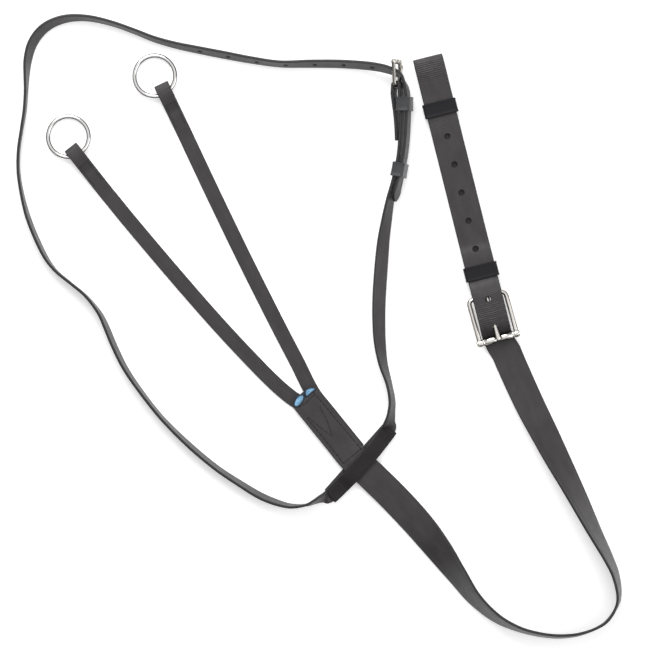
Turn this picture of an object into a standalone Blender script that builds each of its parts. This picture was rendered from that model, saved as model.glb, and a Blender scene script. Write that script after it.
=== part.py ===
"""A martingale for a horse, laid out flat on a table.

A body strap runs from a fork joint to the girth. Two fork straps with rein rings are sewn under its
upper end, a buckled neck strap crosses under it and is held by a patch, and its lower end makes an
adjustable girth loop through its own roller buckle.

Lengths are in millimetres in this file and are turned into metres where meshes are made. The origin is
on the table under the fork joint, +Z is up, +Y points away from the girth along the girth loop.
"""

import math

import bmesh
import bpy
from mathutils import Matrix, Vector

MM = 0.001
GAP = 0.3

# Straps
PLY = 2.4
BODY_WIDTH = 26.2
FORK_WIDTH = 13.0
NECK_WIDTH = 13.0
PATCH_PLY = 1.8
PATCH_WIDTH = 13.4
PATCH_LENGTH = 78.6
STEP = 9.0
HOLE_RADIUS = 2.4
NECK_HOLE_RADIUS = 1.7
HOLE_PITCH = 25.2
KEEPER_WIDTH = 12.4
KEEPER_PLY = 1.5
THREAD = 0.35

# Fork joint: the direction of the body strap where it leaves the joint, and the axis across it
BODY_DIR = Vector((0.628, -0.778, 0.0))
BODY_SIDE = Vector((0.778, 0.628, 0.0))
BODY_OFFSET = 0.4
ROOT_OFFSET = 6.8
ROOT_SEAM = 1.2
ROOT_END = 28.0
BODY_END = -34.6
INLAY_END = -40.2
LOW = PLY / 2
OVER = PLY * 1.5 + GAP

# Rein rings
RING_RADIUS = 17.75
RING_WIRE = 1.75
RING_LOOP_TOP = 9.0
RING_WIRE_HEIGHT = PLY + GAP + RING_WIRE
RING_TILT = math.asin((RING_WIRE_HEIGHT - RING_WIRE - 0.05) / (2 * RING_RADIUS))

# Girth buckle: place of the fixed bar, and the heading of the girth loop away from the buckle
GIRTH_BAR = Vector((136.6, 116.6, 6.4))
GIRTH_DIR = Vector((-0.2425, 0.9701, 0.0))
GIRTH_BAR_RADIUS = 1.75
GIRTH_INNER = 28.7
GIRTH_LENGTH = 38.3
LOOP_LIFT = 1.9
GIRTH_FOLD = 214.2
GIRTH_TURN = 1.5
GIRTH_SHIFT = 0.5
GIRTH_WRAP_GAP = 0.5
GIRTH_LOOP_TOP = 12.5
FIRST_GIRTH_HOLE = 142.9
GIRTH_FIXED_KEEPER = 21.6
GIRTH_RUNNING_KEEPER = 168.0
GIRTH_TONGUE_RISE = 4.75

# Slots, as (length, width, depth) along the tongue or the strap, and their distance from the fixed bar
GIRTH_CHAPE_SLOT = (14.6, 6.6, 9.4)
GIRTH_CHAPE_SLOT_AT = 1.6
GIRTH_TONGUE_SLOT = (17.0, 4.8, 5.4)
GIRTH_TONGUE_SLOT_AT = 27.2
NECK_CHAPE_SLOT = (8.6, 5.2, 10.4)
NECK_CHAPE_SLOT_AT = 0.9
NECK_TONGUE_SLOT = (9.6, 4.2, 5.0)
NECK_TONGUE_SLOT_AT = 9.0

# Tongues: clearance round the bar, thickness of the eye's wall and half the eye's width
TONGUE_PLAY = 0.3
TONGUE_WALL = 1.4
TONGUE_EYE = 2.1

# Neck buckle
NECK_BAR = Vector((58.6, 299.3, 10.95))
NECK_BAR_RADIUS = 1.4
NECK_WRAP_GAP = 0.35
NECK_INNER = 14.4
NECK_LEAN = math.radians(18.0)
KEEPER_LEAN = math.radians(15.0)
NECK_HOLES_FROM = (-113.0, 330.0)
NECK_HOLE_COUNT = 7
NECK_LENGTH = 20.6
NECK_TONGUE_REACH = 17.2
NECK_TONGUE_RISE = 5.0

# Neck keepers: place, turn in degrees, inside size, and whether it slides
NECK_KEEPERS = {
    "neck_keeper_fixed": (Vector((64.7, 283.2, 11.2)), 0.0, (14.8, 9.6), False),
    "neck_keeper_runner": (Vector((60.4, 226.0, 9.9)), 11.0, (14.8, 8.6), True),
}

# Neck crossing
CROSS = Vector((25.3, -27.8, LOW))
CROSS_DIR = Vector((0.663, 0.748, 0.0)).normalized()
CROSS_HALF = 40.4

UP = Vector((0.0, 0.0, 1.0))


# ---------------------------------------------------------------- scene, materials and objects


def clear_scene():
    for obj in list(bpy.data.objects):
        bpy.data.objects.remove(obj)


def new_collection(name):
    collection = bpy.data.collections.new(name)
    bpy.context.scene.collection.children.link(collection)
    return collection


def new_material(name, color, roughness, metallic):
    material = bpy.data.materials.new(name)
    material.use_nodes = True
    shader = material.node_tree.nodes["Principled BSDF"]
    shader.inputs["Base Color"].default_value = (*color, 1.0)
    shader.inputs["Roughness"].default_value = roughness
    shader.inputs["Metallic"].default_value = metallic
    return material


clear_scene()
PARTS = new_collection("martingale")
CUTTERS = new_collection("cutters")
WEBBING = new_material("coated_webbing", (0.07, 0.068, 0.07), 0.45, 0.0)
PATCHING = new_material("patch_webbing", (0.03, 0.028, 0.03), 0.5, 0.0)
KEEPER = new_material("keeper_black", (0.025, 0.024, 0.026), 0.4, 0.0)
KEEPER_GREY = new_material("keeper_grey", (0.12, 0.12, 0.125), 0.4, 0.0)
STEEL = new_material("bright_steel", (0.75, 0.73, 0.7), 0.2, 1.0)
THREADS = new_material("black_thread", (0.015, 0.015, 0.017), 0.7, 0.0)
BLUE = new_material("blue_inlay", (0.16, 0.39, 0.62), 0.5, 0.0)


def object_from(bm, name, material, collection=None):
    """A mesh object of this bmesh, whose points are in millimetres in the world."""
    bmesh.ops.recalc_face_normals(bm, faces=bm.faces)
    bm.transform(Matrix.Scale(MM, 4))
    mesh = bpy.data.meshes.new(name)
    bm.to_mesh(mesh)
    bm.free()
    obj = bpy.data.objects.new(name, mesh)
    (collection or PARTS).objects.link(obj)
    if material:
        mesh.materials.append(material)
    mesh.shade_smooth()
    mesh.set_sharp_from_angle(angle=math.radians(35))
    return obj


def as_cutter(obj):
    obj.hide_render = True
    obj.display_type = "WIRE"
    return obj


def boolean(obj, other, operation):
    modifier = obj.modifiers.new(operation.lower(), "BOOLEAN")
    modifier.operation = operation
    modifier.object = other
    modifier.solver = "EXACT"


def placed(origin, x_axis, z_axis):
    """The matrix of a local frame with this origin and these two axes, in millimetres."""
    x = x_axis.normalized()
    y = z_axis.cross(x).normalized()
    z = x.cross(y)
    matrix = Matrix((x, y, z)).transposed().to_4x4()
    matrix.translation = origin
    return matrix


# ---------------------------------------------------------------- smooth routes and strap frames


def smooth(points, step):
    """Points about `step` apart on a smooth curve through the given ones; every channel is smoothed."""
    points = [tuple(float(v) for v in p) for p in points]
    chords = [math.dist(a[:2], b[:2]) or 1e-6 for a, b in zip(points, points[1:])]
    slopes = []
    for i in range(len(points)):
        a = points[max(i - 1, 0)]
        b = points[min(i + 1, len(points) - 1)]
        span = sum(chords[max(i - 1, 0) : i + 1])
        slopes.append([(q - p) / span for p, q in zip(a, b)])
    out = []
    for i, chord in enumerate(chords):
        count = max(1, math.ceil(chord / step))
        for k in range(count):
            t = k / count
            h = (2 * t**3 - 3 * t**2 + 1, t**3 - 2 * t**2 + t, -2 * t**3 + 3 * t**2, t**3 - t**2)
            row = zip(points[i], slopes[i], points[i + 1], slopes[i + 1])
            out.append([h[0] * a + h[1] * m * chord + h[2] * b + h[3] * n * chord for a, m, b, n in row])
    out.append(list(points[-1]))
    return out


def lying(route, width, step=STEP, first=None, last=None):
    """Frames (centre, side) of a strap that lies on the table.

    A route point is (x, y, roll, lift). Roll 0 is flat, and a positive roll raises the left edge.
    """
    rows = smooth(route, step)
    frames = []
    for i, (x, y, roll, lift) in enumerate(rows):
        a = rows[max(i - 1, 0)]
        b = rows[min(i + 1, len(rows) - 1)]
        heading = Vector((b[0] - a[0], b[1] - a[1], 0.0)).normalized()
        if i == 0 and first:
            heading = first
        if i == len(rows) - 1 and last:
            heading = last
        left = Vector((-heading.y, heading.x, 0.0))
        angle = math.radians(roll)
        side = left * math.cos(angle) + UP * math.sin(angle)
        height = width / 2 * abs(math.sin(angle)) + PLY / 2 * abs(math.cos(angle)) + lift
        frames.append((Vector((x, y, height)), side))
    for _ in range(3):
        for i, (centre, side) in enumerate(frames):
            _, _, across, up = axes_at(frames, i)
            lowest = centre.z - abs(across.z) * width / 2 - abs(up.z) * PLY / 2
            frames[i] = (centre + UP * max(0.0, -lowest), side)
    return frames


def in_plane(profile, origin, heading, side, step):
    """Frames of a strap bent in one upright plane: the profile's (s, z) run along heading and up."""
    return [(origin + heading * s + UP * z, side) for s, z in smooth(profile, step)]


def arc(centre, radius, start, end, count):
    """(s, z) points on an arc, with its angles in degrees."""
    points = []
    for k in range(count + 1):
        angle = math.radians(start + (end - start) * k / count)
        points.append((centre[0] + radius * math.cos(angle), centre[1] + radius * math.sin(angle)))
    return points


def spaced(frames):
    """The frames without any that sits on the one before it."""
    kept = [frames[0]]
    for frame in frames[1:]:
        if (frame[0] - kept[-1][0]).length > 0.8:
            kept.append(frame)
    return kept


def pointed(frames, length=8.0):
    """The frames with their last stretch narrowed to a point."""
    centre, side = frames[-1]
    back = (frames[-1][0] - frames[-2][0]).normalized()
    shares = ((length, 1.0), (length * 0.45, 0.72), (0.0, 0.22))
    ended = [(c, s, 1.0) for c, s in frames if (centre - c).length > length + 1.0]
    return ended + [(centre - back * d, side, share) for d, share in shares]


def axes_at(frames, index):
    """(centre, tangent, side, up) of a strap at one of its frames."""
    before = frames[max(index - 1, 0)][0]
    after = frames[min(index + 1, len(frames) - 1)][0]
    tangent = (after - before).normalized()
    side = frames[index][1]
    side = (side - tangent * side.dot(tangent)).normalized()
    return frames[index][0], tangent, side, tangent.cross(side)


def strap(name, frames, width, material=WEBBING, thick=PLY, round_start=False, round_end=False):
    """A strap lofted along its frames; a round end is a half cylinder across the strap."""
    frames = spaced([(f[0], f[1], f[2] if len(f) > 2 else 1.0) for f in frames])
    bm = bmesh.new()
    rings = []

    def add_ring(centre, side, up, wide, high):
        corners = ((-1, -1), (1, -1), (1, 1), (-1, 1))
        rings.append([bm.verts.new(centre + side * a * wide / 2 + up * b * high / 2) for a, b in corners])

    def add_round(centre, tangent, side, up, wide, order):
        for degrees in order:
            angle = math.radians(degrees)
            add_ring(centre + tangent * thick / 2 * math.sin(angle), side, up, wide, thick * math.cos(angle))

    last = len(frames) - 1
    for i in range(len(frames)):
        centre, tangent, side, up = axes_at(frames, i)
        wide = width * frames[i][2]
        if i == 0 and round_start:
            add_round(centre, -tangent, side, up, wide, (72, 45, 20))
        add_ring(centre, side, up, wide, thick)
        if i == last and round_end:
            add_round(centre, tangent, side, up, wide, (20, 45, 72))
    for one, two in zip(rings, rings[1:]):
        for k in range(4):
            bm.faces.new((one[k], one[(k + 1) % 4], two[(k + 1) % 4], two[k]))
    bm.faces.new(rings[0])
    bm.faces.new(rings[-1])
    return object_from(bm, name, material)


def cut(obj, bm, name):
    cutter = as_cutter(object_from(bm, name, None, CUTTERS))
    boolean(obj, cutter, "DIFFERENCE")


def add_cylinder(bm, matrix, radius, depth, segments):
    bmesh.ops.create_cone(
        bm, cap_ends=True, segments=segments, radius1=radius, radius2=radius, depth=depth, matrix=matrix
    )


def add_box(bm, matrix, size):
    bmesh.ops.create_cube(bm, size=1.0, matrix=matrix @ Matrix.Diagonal((*size, 1.0)))


def thread(name, points, cyclic, material=THREADS):
    """A line of stitching as one thin cord along these points."""
    curve = bpy.data.curves.new(name, "CURVE")
    curve.dimensions = "3D"
    curve.bevel_depth = THREAD * MM
    curve.bevel_resolution = 0
    curve.use_fill_caps = True
    spline = curve.splines.new("POLY")
    spline.points.add(len(points) - 1)
    for target, point in zip(spline.points, points):
        target.co = (*(point * MM), 1.0)
    spline.use_cyclic_u = cyclic
    curve.materials.append(material)
    obj = bpy.data.objects.new(name, curve)
    PARTS.objects.link(obj)
    return obj


def band(name, matrix, inner, length, material):
    """A keeper: a rounded rectangular band. Its local X runs along the strap."""

    def outline(spline, wide, high, radius):
        corners = ((1, 1, 0), (-1, 1, 90), (-1, -1, 180), (1, -1, 270))
        points = []
        for a, b, start in corners:
            middle = (a * (wide / 2 - radius), b * (high / 2 - radius))
            points += arc(middle, radius, start, start + 90, 2)
        spline.points.add(len(points) - 1)
        for target, (p, q) in zip(spline.points, points):
            target.co = (p * MM, q * MM, 0.0, 1.0)
        spline.use_cyclic_u = True

    curve = bpy.data.curves.new(name, "CURVE")
    curve.dimensions = "2D"
    curve.fill_mode = "BOTH"
    curve.extrude = length / 2 * MM
    wall = 2 * KEEPER_PLY
    outline(curve.splines.new("POLY"), inner[0] + wall, inner[1] + wall, KEEPER_PLY + 0.4)
    outline(curve.splines.new("POLY"), inner[0], inner[1], 0.4)
    curve.materials.append(material)
    obj = bpy.data.objects.new(name, curve)
    PARTS.objects.link(obj)
    # The outline's plane is across the strap: local x to the side, local y up, extruded along the strap.
    turn = Matrix(((0, 0, 1, 0), (1, 0, 0, 0), (0, 1, 0, 0), (0, 0, 0, 1)))
    world = matrix @ turn
    world.translation = matrix.translation * MM
    obj.matrix_world = world
    return obj


def pivot(name, at, pieces):
    """An empty on a joint's axis, which the pieces that move with it hang from."""
    empty = bpy.data.objects.new(name, None)
    empty.location = at * MM
    empty.empty_display_size = 0.02
    PARTS.objects.link(empty)
    bpy.context.view_layer.update()
    for piece in pieces:
        piece.parent = empty
        piece.matrix_parent_inverse = empty.matrix_world.inverted()
    return empty


# ---------------------------------------------------------------- fork joint


def on_joint(along, across, height):
    return BODY_DIR * along + BODY_SIDE * (across + BODY_OFFSET) + UP * height


def make_fork_roots():
    """The sewn ends of both fork straps, side by side under the body strap."""
    roots = []
    for name, sign, hinge in (("left", -1, LEFT_HINGE), ("right", 1, RIGHT_HINGE)):
        across = sign * ROOT_OFFSET + ROOT_SEAM
        start = hinge[0] - hinge[1] * (PLY / 2 + GAP + 0.5)
        points = [start] + [on_joint(s, across, 0.0) for s in (-32.0, -18.0, 0.0, ROOT_END)]
        route = [(p.x, p.y, 0.0, 0.0) for p in points]
        roots.append(
            strap(f"fork_root_{name}", lying(route, FORK_WIDTH, 20.0, -hinge[1], BODY_DIR), FORK_WIDTH)
        )
    return roots


def make_inlays():
    """Blue edge pieces that close the end of the body strap at the crotch of the fork."""
    for name, start, end in (("left", -11.9, 0.95), ("right", 1.65, 12.5)):
        middle = on_joint((BODY_END + INLAY_END - GAP) / 2, (start + end) / 2, OVER)
        bm = bmesh.new()
        add_box(bm, placed(middle, BODY_DIR, UP), (abs(INLAY_END - BODY_END) - GAP, end - start, PLY))
        bmesh.ops.bevel(
            bm, geom=bm.edges[:], offset=0.5, segments=1, profile=0.5, affect="EDGES"
        )
        object_from(bm, f"fork_inlay_{name}", BLUE)


def make_fork_stitching():
    top = OVER + PLY / 2 + GAP + THREAD
    inset = BODY_WIDTH / 2 - 2.6
    corners = ((-32.6, -inset), (-32.6, inset), (27.0, inset), (27.0, -inset))
    thread("fork_border_stitching", [on_joint(s, n, top) for s, n in corners], True)
    vee = ((-29.0, -7.2), (-8.0, 0.0), (-29.0, 7.2))
    thread("fork_vee_stitching", [on_joint(s, n, top) for s, n in vee], False)


# ---------------------------------------------------------------- fork straps and rein rings

LEFT_FORK = (
    (-34.4, 28.9),
    (-46.3, 39.0),
    (-63.5, 56.0),
    (-97.5, 92.3),
    (-136.0, 136.3),
    (-174.7, 182.1),
    (-197.4, 210.0),
)
RIGHT_FORK = (
    (-19.6, 40.6),
    (-27.2, 56.2),
    (-44.1, 88.7),
    (-73.2, 146.5),
    (-99.3, 200.4),
    (-120.0, 244.2),
    (-126.9, 258.9),
)
LEFT_WIRE = Vector((-220.2, 239.0, RING_WIRE_HEIGHT))
RIGHT_WIRE = Vector((-143.2, 292.8, RING_WIRE_HEIGHT))
LEFT_RING_TURN = -13.7
RIGHT_RING_TURN = 5.6


def hinge_of(fork):
    a, b = fork[:2]
    heading = Vector((b[0] - a[0], b[1] - a[1], 0.0)).normalized()
    return Vector((a[0], a[1], LOW)), heading


LEFT_HINGE = hinge_of(LEFT_FORK)
RIGHT_HINGE = hinge_of(RIGHT_FORK)


def fork_end_profile():
    """(s, z) of a fork strap's end, from s = -36 over the ring's wire, round the fold and back below."""
    middle = (RING_LOOP_TOP + LOW) / 2
    radius = (RING_LOOP_TOP - LOW) / 2
    over = [(-37.0, LOW), (-33.0, LOW + 1.6), (-28.0, OVER), (-16.0, OVER + 0.15), (-8.5, 7.0), (-2.5, 8.8)]
    bend = arc((4.0, middle), radius, 90, -90, 6)
    under = [(-3.0, LOW), (-12.0, LOW), (-24.0, LOW)]
    return over + bend + under


def make_fork(name, fork, wire, turn):
    heading = Vector((wire.x - fork[-1][0], wire.y - fork[-1][1], 0.0)).normalized()
    left = Vector((-heading.y, heading.x, 0.0))
    flat = lying([(x, y, 0.0, 0.0) for x, y in fork], FORK_WIDTH, 22.0, hinge_of(fork)[1], heading)
    base = Vector((wire.x, wire.y, 0.0))
    end = in_plane(fork_end_profile(), base, heading, left, 5.0)
    flat = [f for f in flat if (f[0] - base).length > 39.0]
    piece = strap(f"fork_strap_{name}", flat + end, FORK_WIDTH, round_start=True)
    top = OVER + 0.15 + PLY / 2 + GAP + THREAD
    rows = [(-29.5, -4.4), (-12.5, -4.4), (-12.5, 4.4), (-29.5, 4.4)]
    heights = [top + 0.2, top + 1.3, top + 1.3, top + 0.2]
    points = [base + heading * s + left * n + UP * z for (s, n), z in zip(rows, heights)]
    stitches = thread(f"ring_stitching_{name}", points, True)
    pivot(f"fork_flex_{name}", hinge_of(fork)[0], [piece, stitches])
    bpy.ops.mesh.primitive_torus_add(
        major_segments=32,
        minor_segments=8,
        major_radius=RING_RADIUS * MM,
        minor_radius=RING_WIRE * MM,
    )
    ring = bpy.context.object
    ring.name = f"rein_ring_{name}"
    ring.data.name = ring.name
    ring.data.materials.append(STEEL)
    for collection in list(ring.users_collection):
        collection.objects.unlink(ring)
    PARTS.objects.link(ring)
    yaw = math.atan2(heading.y, heading.x) + math.radians(turn)
    swing = Matrix.Rotation(yaw, 4, "Z") @ Matrix.Rotation(RING_TILT, 4, "Y")
    offset = Vector((RING_RADIUS, 0.0, 0.0))
    ring.matrix_world = Matrix.Translation(wire * MM) @ swing @ Matrix.Translation(offset * MM)
    pivot(f"ring_swing_{name}", wire, [ring])


# ---------------------------------------------------------------- body strap

BODY_ROUTE = (
    (38.6, -42.1, 0.0, 2.7),
    (50.3, -53.4, 1.0, 1.9),
    (64.5, -68.1, 5.0, 0.3),
    (79.9, -85.3, 16.0, 0.0),
    (95.3, -104.8, 33.0, 0.0),
    (109.8, -124.9, 51.0, 0.0),
    (125.3, -146.0, 65.0, 0.0),
    (144.2, -162.8, 74.0, 0.0),
    (163.8, -172.5, 81.0, 0.0),
    (182.4, -177.3, 83.0, 0.0),
    (200.1, -178.9, 83.5, 0.0),
    (217.9, -176.7, 85.0, 0.0),
    (236.4, -169.0, 87.0, 0.0),
    (245.4, -159.2, 87.0, 0.0),
)
LEG_ROUTE = (
    (245.4, -159.2, 87.0, 0.0),
    (250.6, -146.0, 82.5, 0.0),
    (248.0, -126.5, 77.0, 0.0),
    (241.1, -110.1, 72.0, 0.0),
    (230.2, -89.2, 64.0, 0.0),
    (219.5, -67.7, 55.0, 0.0),
    (208.5, -45.9, 46.0, 0.0),
    (197.1, -24.2, 35.0, 0.0),
    (186.1, -2.5, 25.0, 0.0),
    (175.2, 18.9, 15.0, 0.0),
    (164.9, 41.1, 7.0, 0.0),
    (156.5, 60.0, 2.0, 0.2),
)
LEG_END = Vector((153.2, 68.0, 0.0))
EASE_START = 30.0
EASE_LENGTH = 22.0
EASED_FRAMES = 8


def make_body_strap():
    joint = [(*on_joint(s, 0.0, 0.0)[:2], 0.0, OVER - LOW) for s in (BODY_END, -10.0, 12.0, 30.0)]
    frames = lying(joint + list(BODY_ROUTE), BODY_WIDTH, STEP, BODY_DIR)
    heading = (frames[-1][0] - frames[-2][0]).normalized()
    end, side = frames[-1]
    frames[-1] = (end - heading * (PLY / 2 + 1.6), side)
    return strap("body_strap", frames, BODY_WIDTH)


def girth_profile():
    """(s, z) of the girth strap from in front of the roller to the end of the chape."""
    low = LOOP_LIFT + LOW
    chape = low + PLY + GAP
    billet = chape + PLY + GAP + 0.1
    run = [(-52.0, 1.7), (-44.0, 1.75), (-39.0, 1.7), (-35.8, 2.4), (-32.2, 5.0), (-29.0, 8.2)]
    run += [(-25.0, 10.6), (-19.0, 11.9), (-10.0, GIRTH_LOOP_TOP), (0.0, GIRTH_LOOP_TOP), (8.0, 11.0)]
    run += [(15.0, billet + 0.3)]
    run += [(22.0, billet), (32.0, billet), (39.0, billet - 0.8), (47.0, chape + 0.2), (60.0, chape)]
    run += [(90.0, chape), (120.0, chape), (150.0, chape), (180.0, chape), (192.0, chape + 0.9)]
    run += [(203.0, chape + 2.6)]
    fold_middle = (low + chape + 2.8) / 2
    fold_radius = (chape + 2.8 - low) / 2
    run += arc((GIRTH_FOLD - fold_radius - LOW, fold_middle), fold_radius, 90, -90, 8)[1:]
    run += [(198.0, low), (170.0, low), (130.0, low), (90.0, low), (50.0, low), (12.0, low), (5.0, low)]
    wrap = GIRTH_BAR_RADIUS + GIRTH_WRAP_GAP + LOW
    run += arc((0.0, GIRTH_BAR.z), wrap, -90, -270, 10)
    run += [(6.0, 8.2), (11.0, chape + 0.25), (17.0, chape), (33.0, chape)]
    return run


def make_girth_strap():
    side = UP.cross(GIRTH_DIR)
    base = Vector((GIRTH_BAR.x, GIRTH_BAR.y, 0.0))
    loop = in_plane(girth_profile(), base, GIRTH_DIR, side, 40.0)
    # The first frames, in front of the roller, are eased sideways to meet the leg.
    shift = LEG_END - Vector((loop[0][0].x, loop[0][0].y, 0.0))
    leg = lying(LEG_ROUTE, BODY_WIDTH)
    eased = []
    for index, (centre, across) in enumerate(loop):
        ahead = (base - centre).dot(GIRTH_DIR)
        share = max(0.0, (ahead - EASE_START) / EASE_LENGTH) if index < EASED_FRAMES else 0.0
        eased.append((centre + shift * share**2, across))
    obj = strap("girth_strap", leg + eased, BODY_WIDTH, round_start=True)
    # Holes along the billet, the last of them under the fixed keeper, and one over the fixed bar.
    bm = bmesh.new()
    billet = LOOP_LIFT + LOW + PLY + GAP
    for k in range(4):
        at = base + GIRTH_DIR * (FIRST_GIRTH_HOLE - HOLE_PITCH * k) + UP * billet
        add_cylinder(bm, placed(at, GIRTH_DIR, UP), HOLE_RADIUS, PLY + 0.5, 10)
    for k in (4, 5):
        at = base + GIRTH_DIR * (FIRST_GIRTH_HOLE - HOLE_PITCH * k) + UP * (billet + PLY)
        add_cylinder(bm, placed(at, GIRTH_DIR, UP), HOLE_RADIUS, PLY + 1.1, 10)
    at = base - GIRTH_DIR * 3.0 + UP * (GIRTH_LOOP_TOP + 0.1)
    add_cylinder(bm, placed(at, GIRTH_DIR, UP), HOLE_RADIUS, PLY + 1.2, 10)
    cut(obj, bm, "girth_hole_cutter")
    # The slot in the chape for the tongue's eye
    bm = bmesh.new()
    at = base + GIRTH_DIR * GIRTH_CHAPE_SLOT_AT + UP * GIRTH_BAR.z
    add_box(bm, placed(at, GIRTH_DIR, UP), GIRTH_CHAPE_SLOT)
    cut(obj, bm, "girth_chape_cutter")
    # The hole that the tongue stands in
    bm = bmesh.new()
    prong = (GIRTH_PRONG_TIP - GIRTH_PLACE.translation).normalized()
    at = GIRTH_PLACE.translation + prong * GIRTH_TONGUE_SLOT_AT + UP * 0.7
    add_box(bm, placed(at, prong, UP), GIRTH_TONGUE_SLOT)
    cut(obj, bm, "girth_prong_cutter")
    return obj


# ---------------------------------------------------------------- roller buckles


def turned(bm, profile, steps, matrix):
    """A ring turned about the local Y axis from a closed (radius, y) profile."""
    verts = [bm.verts.new(matrix @ Vector((r, y, 0.0))) for r, y in profile]
    edges = [bm.edges.new((a, b)) for a, b in zip(verts, verts[1:] + verts[:1])]
    axis = matrix.to_3x3() @ Vector((0.0, 1.0, 0.0))
    bmesh.ops.spin(
        bm,
        geom=verts + edges,
        cent=matrix.translation,
        axis=axis,
        angle=2 * math.pi,
        steps=steps,
        use_merge=True,
    )
    bmesh.ops.remove_doubles(bm, verts=bm.verts, dist=0.001)


def roller_buckle(prefix, place, size):
    """Frame, roller pin, roller and tongue of a buckle.

    Local X runs from the fixed bar to the roller, local Y along the bars, local Z out of the front.
    """
    half = size["inner"] / 2
    side = size["side"]
    length = size["length"]
    along = half + side + 0.2
    # Frame: a bent wire, open at the roller end, with an eye at each end for the pin.
    curve = bpy.data.curves.new(f"{prefix}_frame_wire", "CURVE")
    curve.dimensions = "3D"
    curve.bevel_depth = MM
    curve.bevel_resolution = 2
    curve.use_fill_caps = True
    spline = curve.splines.new("POLY")
    bend = 2.2
    path = [(length, along, side), (length * 0.5, along, side * 1.05), (bend, along, side)]
    path += [(bend * 0.25, along - bend * 0.3, side * 0.95), (0.0, along - bend * 1.2, size["bar"])]
    path = path + [(x, -y, r) for x, y, r in reversed(path)]
    spline.points.add(len(path) - 1)
    for target, (x, y, radius) in zip(spline.points, path):
        target.co = (*(place @ Vector((x, y, 0.0)) * MM), 1.0)
        target.radius = radius
    wire = bpy.data.objects.new(f"{prefix}_frame_wire", curve)
    PARTS.objects.link(wire)
    bpy.context.view_layer.update()
    graph = bpy.context.evaluated_depsgraph_get()
    mesh = bpy.data.meshes.new_from_object(wire.evaluated_get(graph))
    bpy.data.objects.remove(wire)
    bm = bmesh.new()
    bm.from_mesh(mesh)
    bmesh.ops.remove_doubles(bm, verts=bm.verts, dist=1e-6)
    bm.transform(Matrix.Scale(1 / MM, 4))
    frame = object_from(bm, f"{prefix}_frame", STEEL)
    across = Matrix.Rotation(math.radians(90), 4, "X")
    eyes = bmesh.new()
    bores = bmesh.new()
    for sign in (-1, 1):
        at = place @ Matrix.Translation((length, sign * (half + size["eye_length"] / 2), 0)) @ across
        add_cylinder(eyes, at, size["eye"], size["eye_length"], 14)
    add_cylinder(bores, place @ Matrix.Translation((length, 0, 0)) @ across, size["pin"] + GAP, 80.0, 12)
    eye_object = as_cutter(object_from(eyes, f"{prefix}_eyes", None, CUTTERS))
    boolean(frame, eye_object, "UNION")
    cut(frame, bores, f"{prefix}_bore_cutter")
    # Pin
    bm = bmesh.new()
    pin_length = 2 * (half + size["eye_length"]) - 0.2
    add_cylinder(bm, place @ Matrix.Translation((length, 0, 0)) @ across, size["pin"], pin_length, 12)
    pin = object_from(bm, f"{prefix}_roller_pin", STEEL)
    # Roller with a groove for the tongue
    bm = bmesh.new()
    end = half - 0.35
    outer = size["roller"]
    groove = outer - size["groove"]
    profile = [(outer - 0.3, -end), (outer, -end + 0.4), (outer, -3.2), (groove, -2.1), (groove, 2.1)]
    profile += [(outer, 3.2), (outer, end - 0.4), (outer - 0.3, end)]
    profile += [(size["pin"] + GAP, end), (size["pin"] + GAP, -end)]
    turned(bm, profile, 16, place @ Matrix.Translation((length, 0, 0)))
    roller = object_from(bm, f"{prefix}_roller", STEEL)
    # Tongue: an eye round the fixed bar and a tapering prong
    bm = bmesh.new()
    bore = size["bar"] + TONGUE_PLAY
    wall = bore + TONGUE_WALL
    eye = [(wall, -TONGUE_EYE), (wall, TONGUE_EYE), (bore, TONGUE_EYE), (bore, -TONGUE_EYE)]
    turned(bm, eye, 14, place)
    tongue = object_from(bm, f"{prefix}_tongue", STEEL)
    tip = place.inverted() @ size["tip"]
    angle = math.atan2(tip.z, tip.x)
    reach = math.hypot(tip.x, tip.z)
    bm = bmesh.new()
    rings = []
    swung = place @ Matrix.Rotation(-angle, 4, "Y")
    spans = ((bore + 0.4, 3.8, 2.6), (reach * 0.5, 3.5, 2.6), (reach - 3, 3.2, 2.4), (reach, 1.8, 1.4))
    for x, wide, high in spans:
        corners = []
        for k in range(8):
            turn = math.radians(22.5 + 45 * k)
            corners.append(Vector((x, wide * 0.54 * math.cos(turn), high * 0.54 * math.sin(turn))))
        rings.append([bm.verts.new(swung @ c) for c in corners])
    for one, two in zip(rings, rings[1:]):
        for k in range(8):
            bm.faces.new((one[k], one[(k + 1) % 8], two[(k + 1) % 8], two[k]))
    bm.faces.new(rings[0])
    bm.faces.new(rings[-1])
    prong = as_cutter(object_from(bm, f"{prefix}_prong", None, CUTTERS))
    boolean(tongue, prong, "UNION")
    pivot(f"{prefix}_tongue_lift", place.translation.copy(), [tongue])
    pivot(f"{prefix}_roller_spin", place @ Vector((length, 0, 0)), [roller])
    return frame, pin


GIRTH_PLACE = placed(
    GIRTH_BAR + UP.cross(GIRTH_DIR) * GIRTH_SHIFT,
    Matrix.Rotation(math.radians(GIRTH_TURN), 3, "Z") @ -GIRTH_DIR,
    UP,
)
GIRTH_PRONG_TIP = GIRTH_PLACE @ Vector((GIRTH_LENGTH + 1.6, 0.0, GIRTH_TONGUE_RISE))
NECK_FRONT = Vector((math.cos(NECK_LEAN), 0.04, math.sin(NECK_LEAN)))
NECK_PLACE = placed(NECK_BAR, Vector((-0.04, 1.0, 0.0)), NECK_FRONT)
NECK_PRONG_TIP = NECK_PLACE @ Vector((NECK_TONGUE_REACH, 0.0, NECK_TONGUE_RISE))

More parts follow.
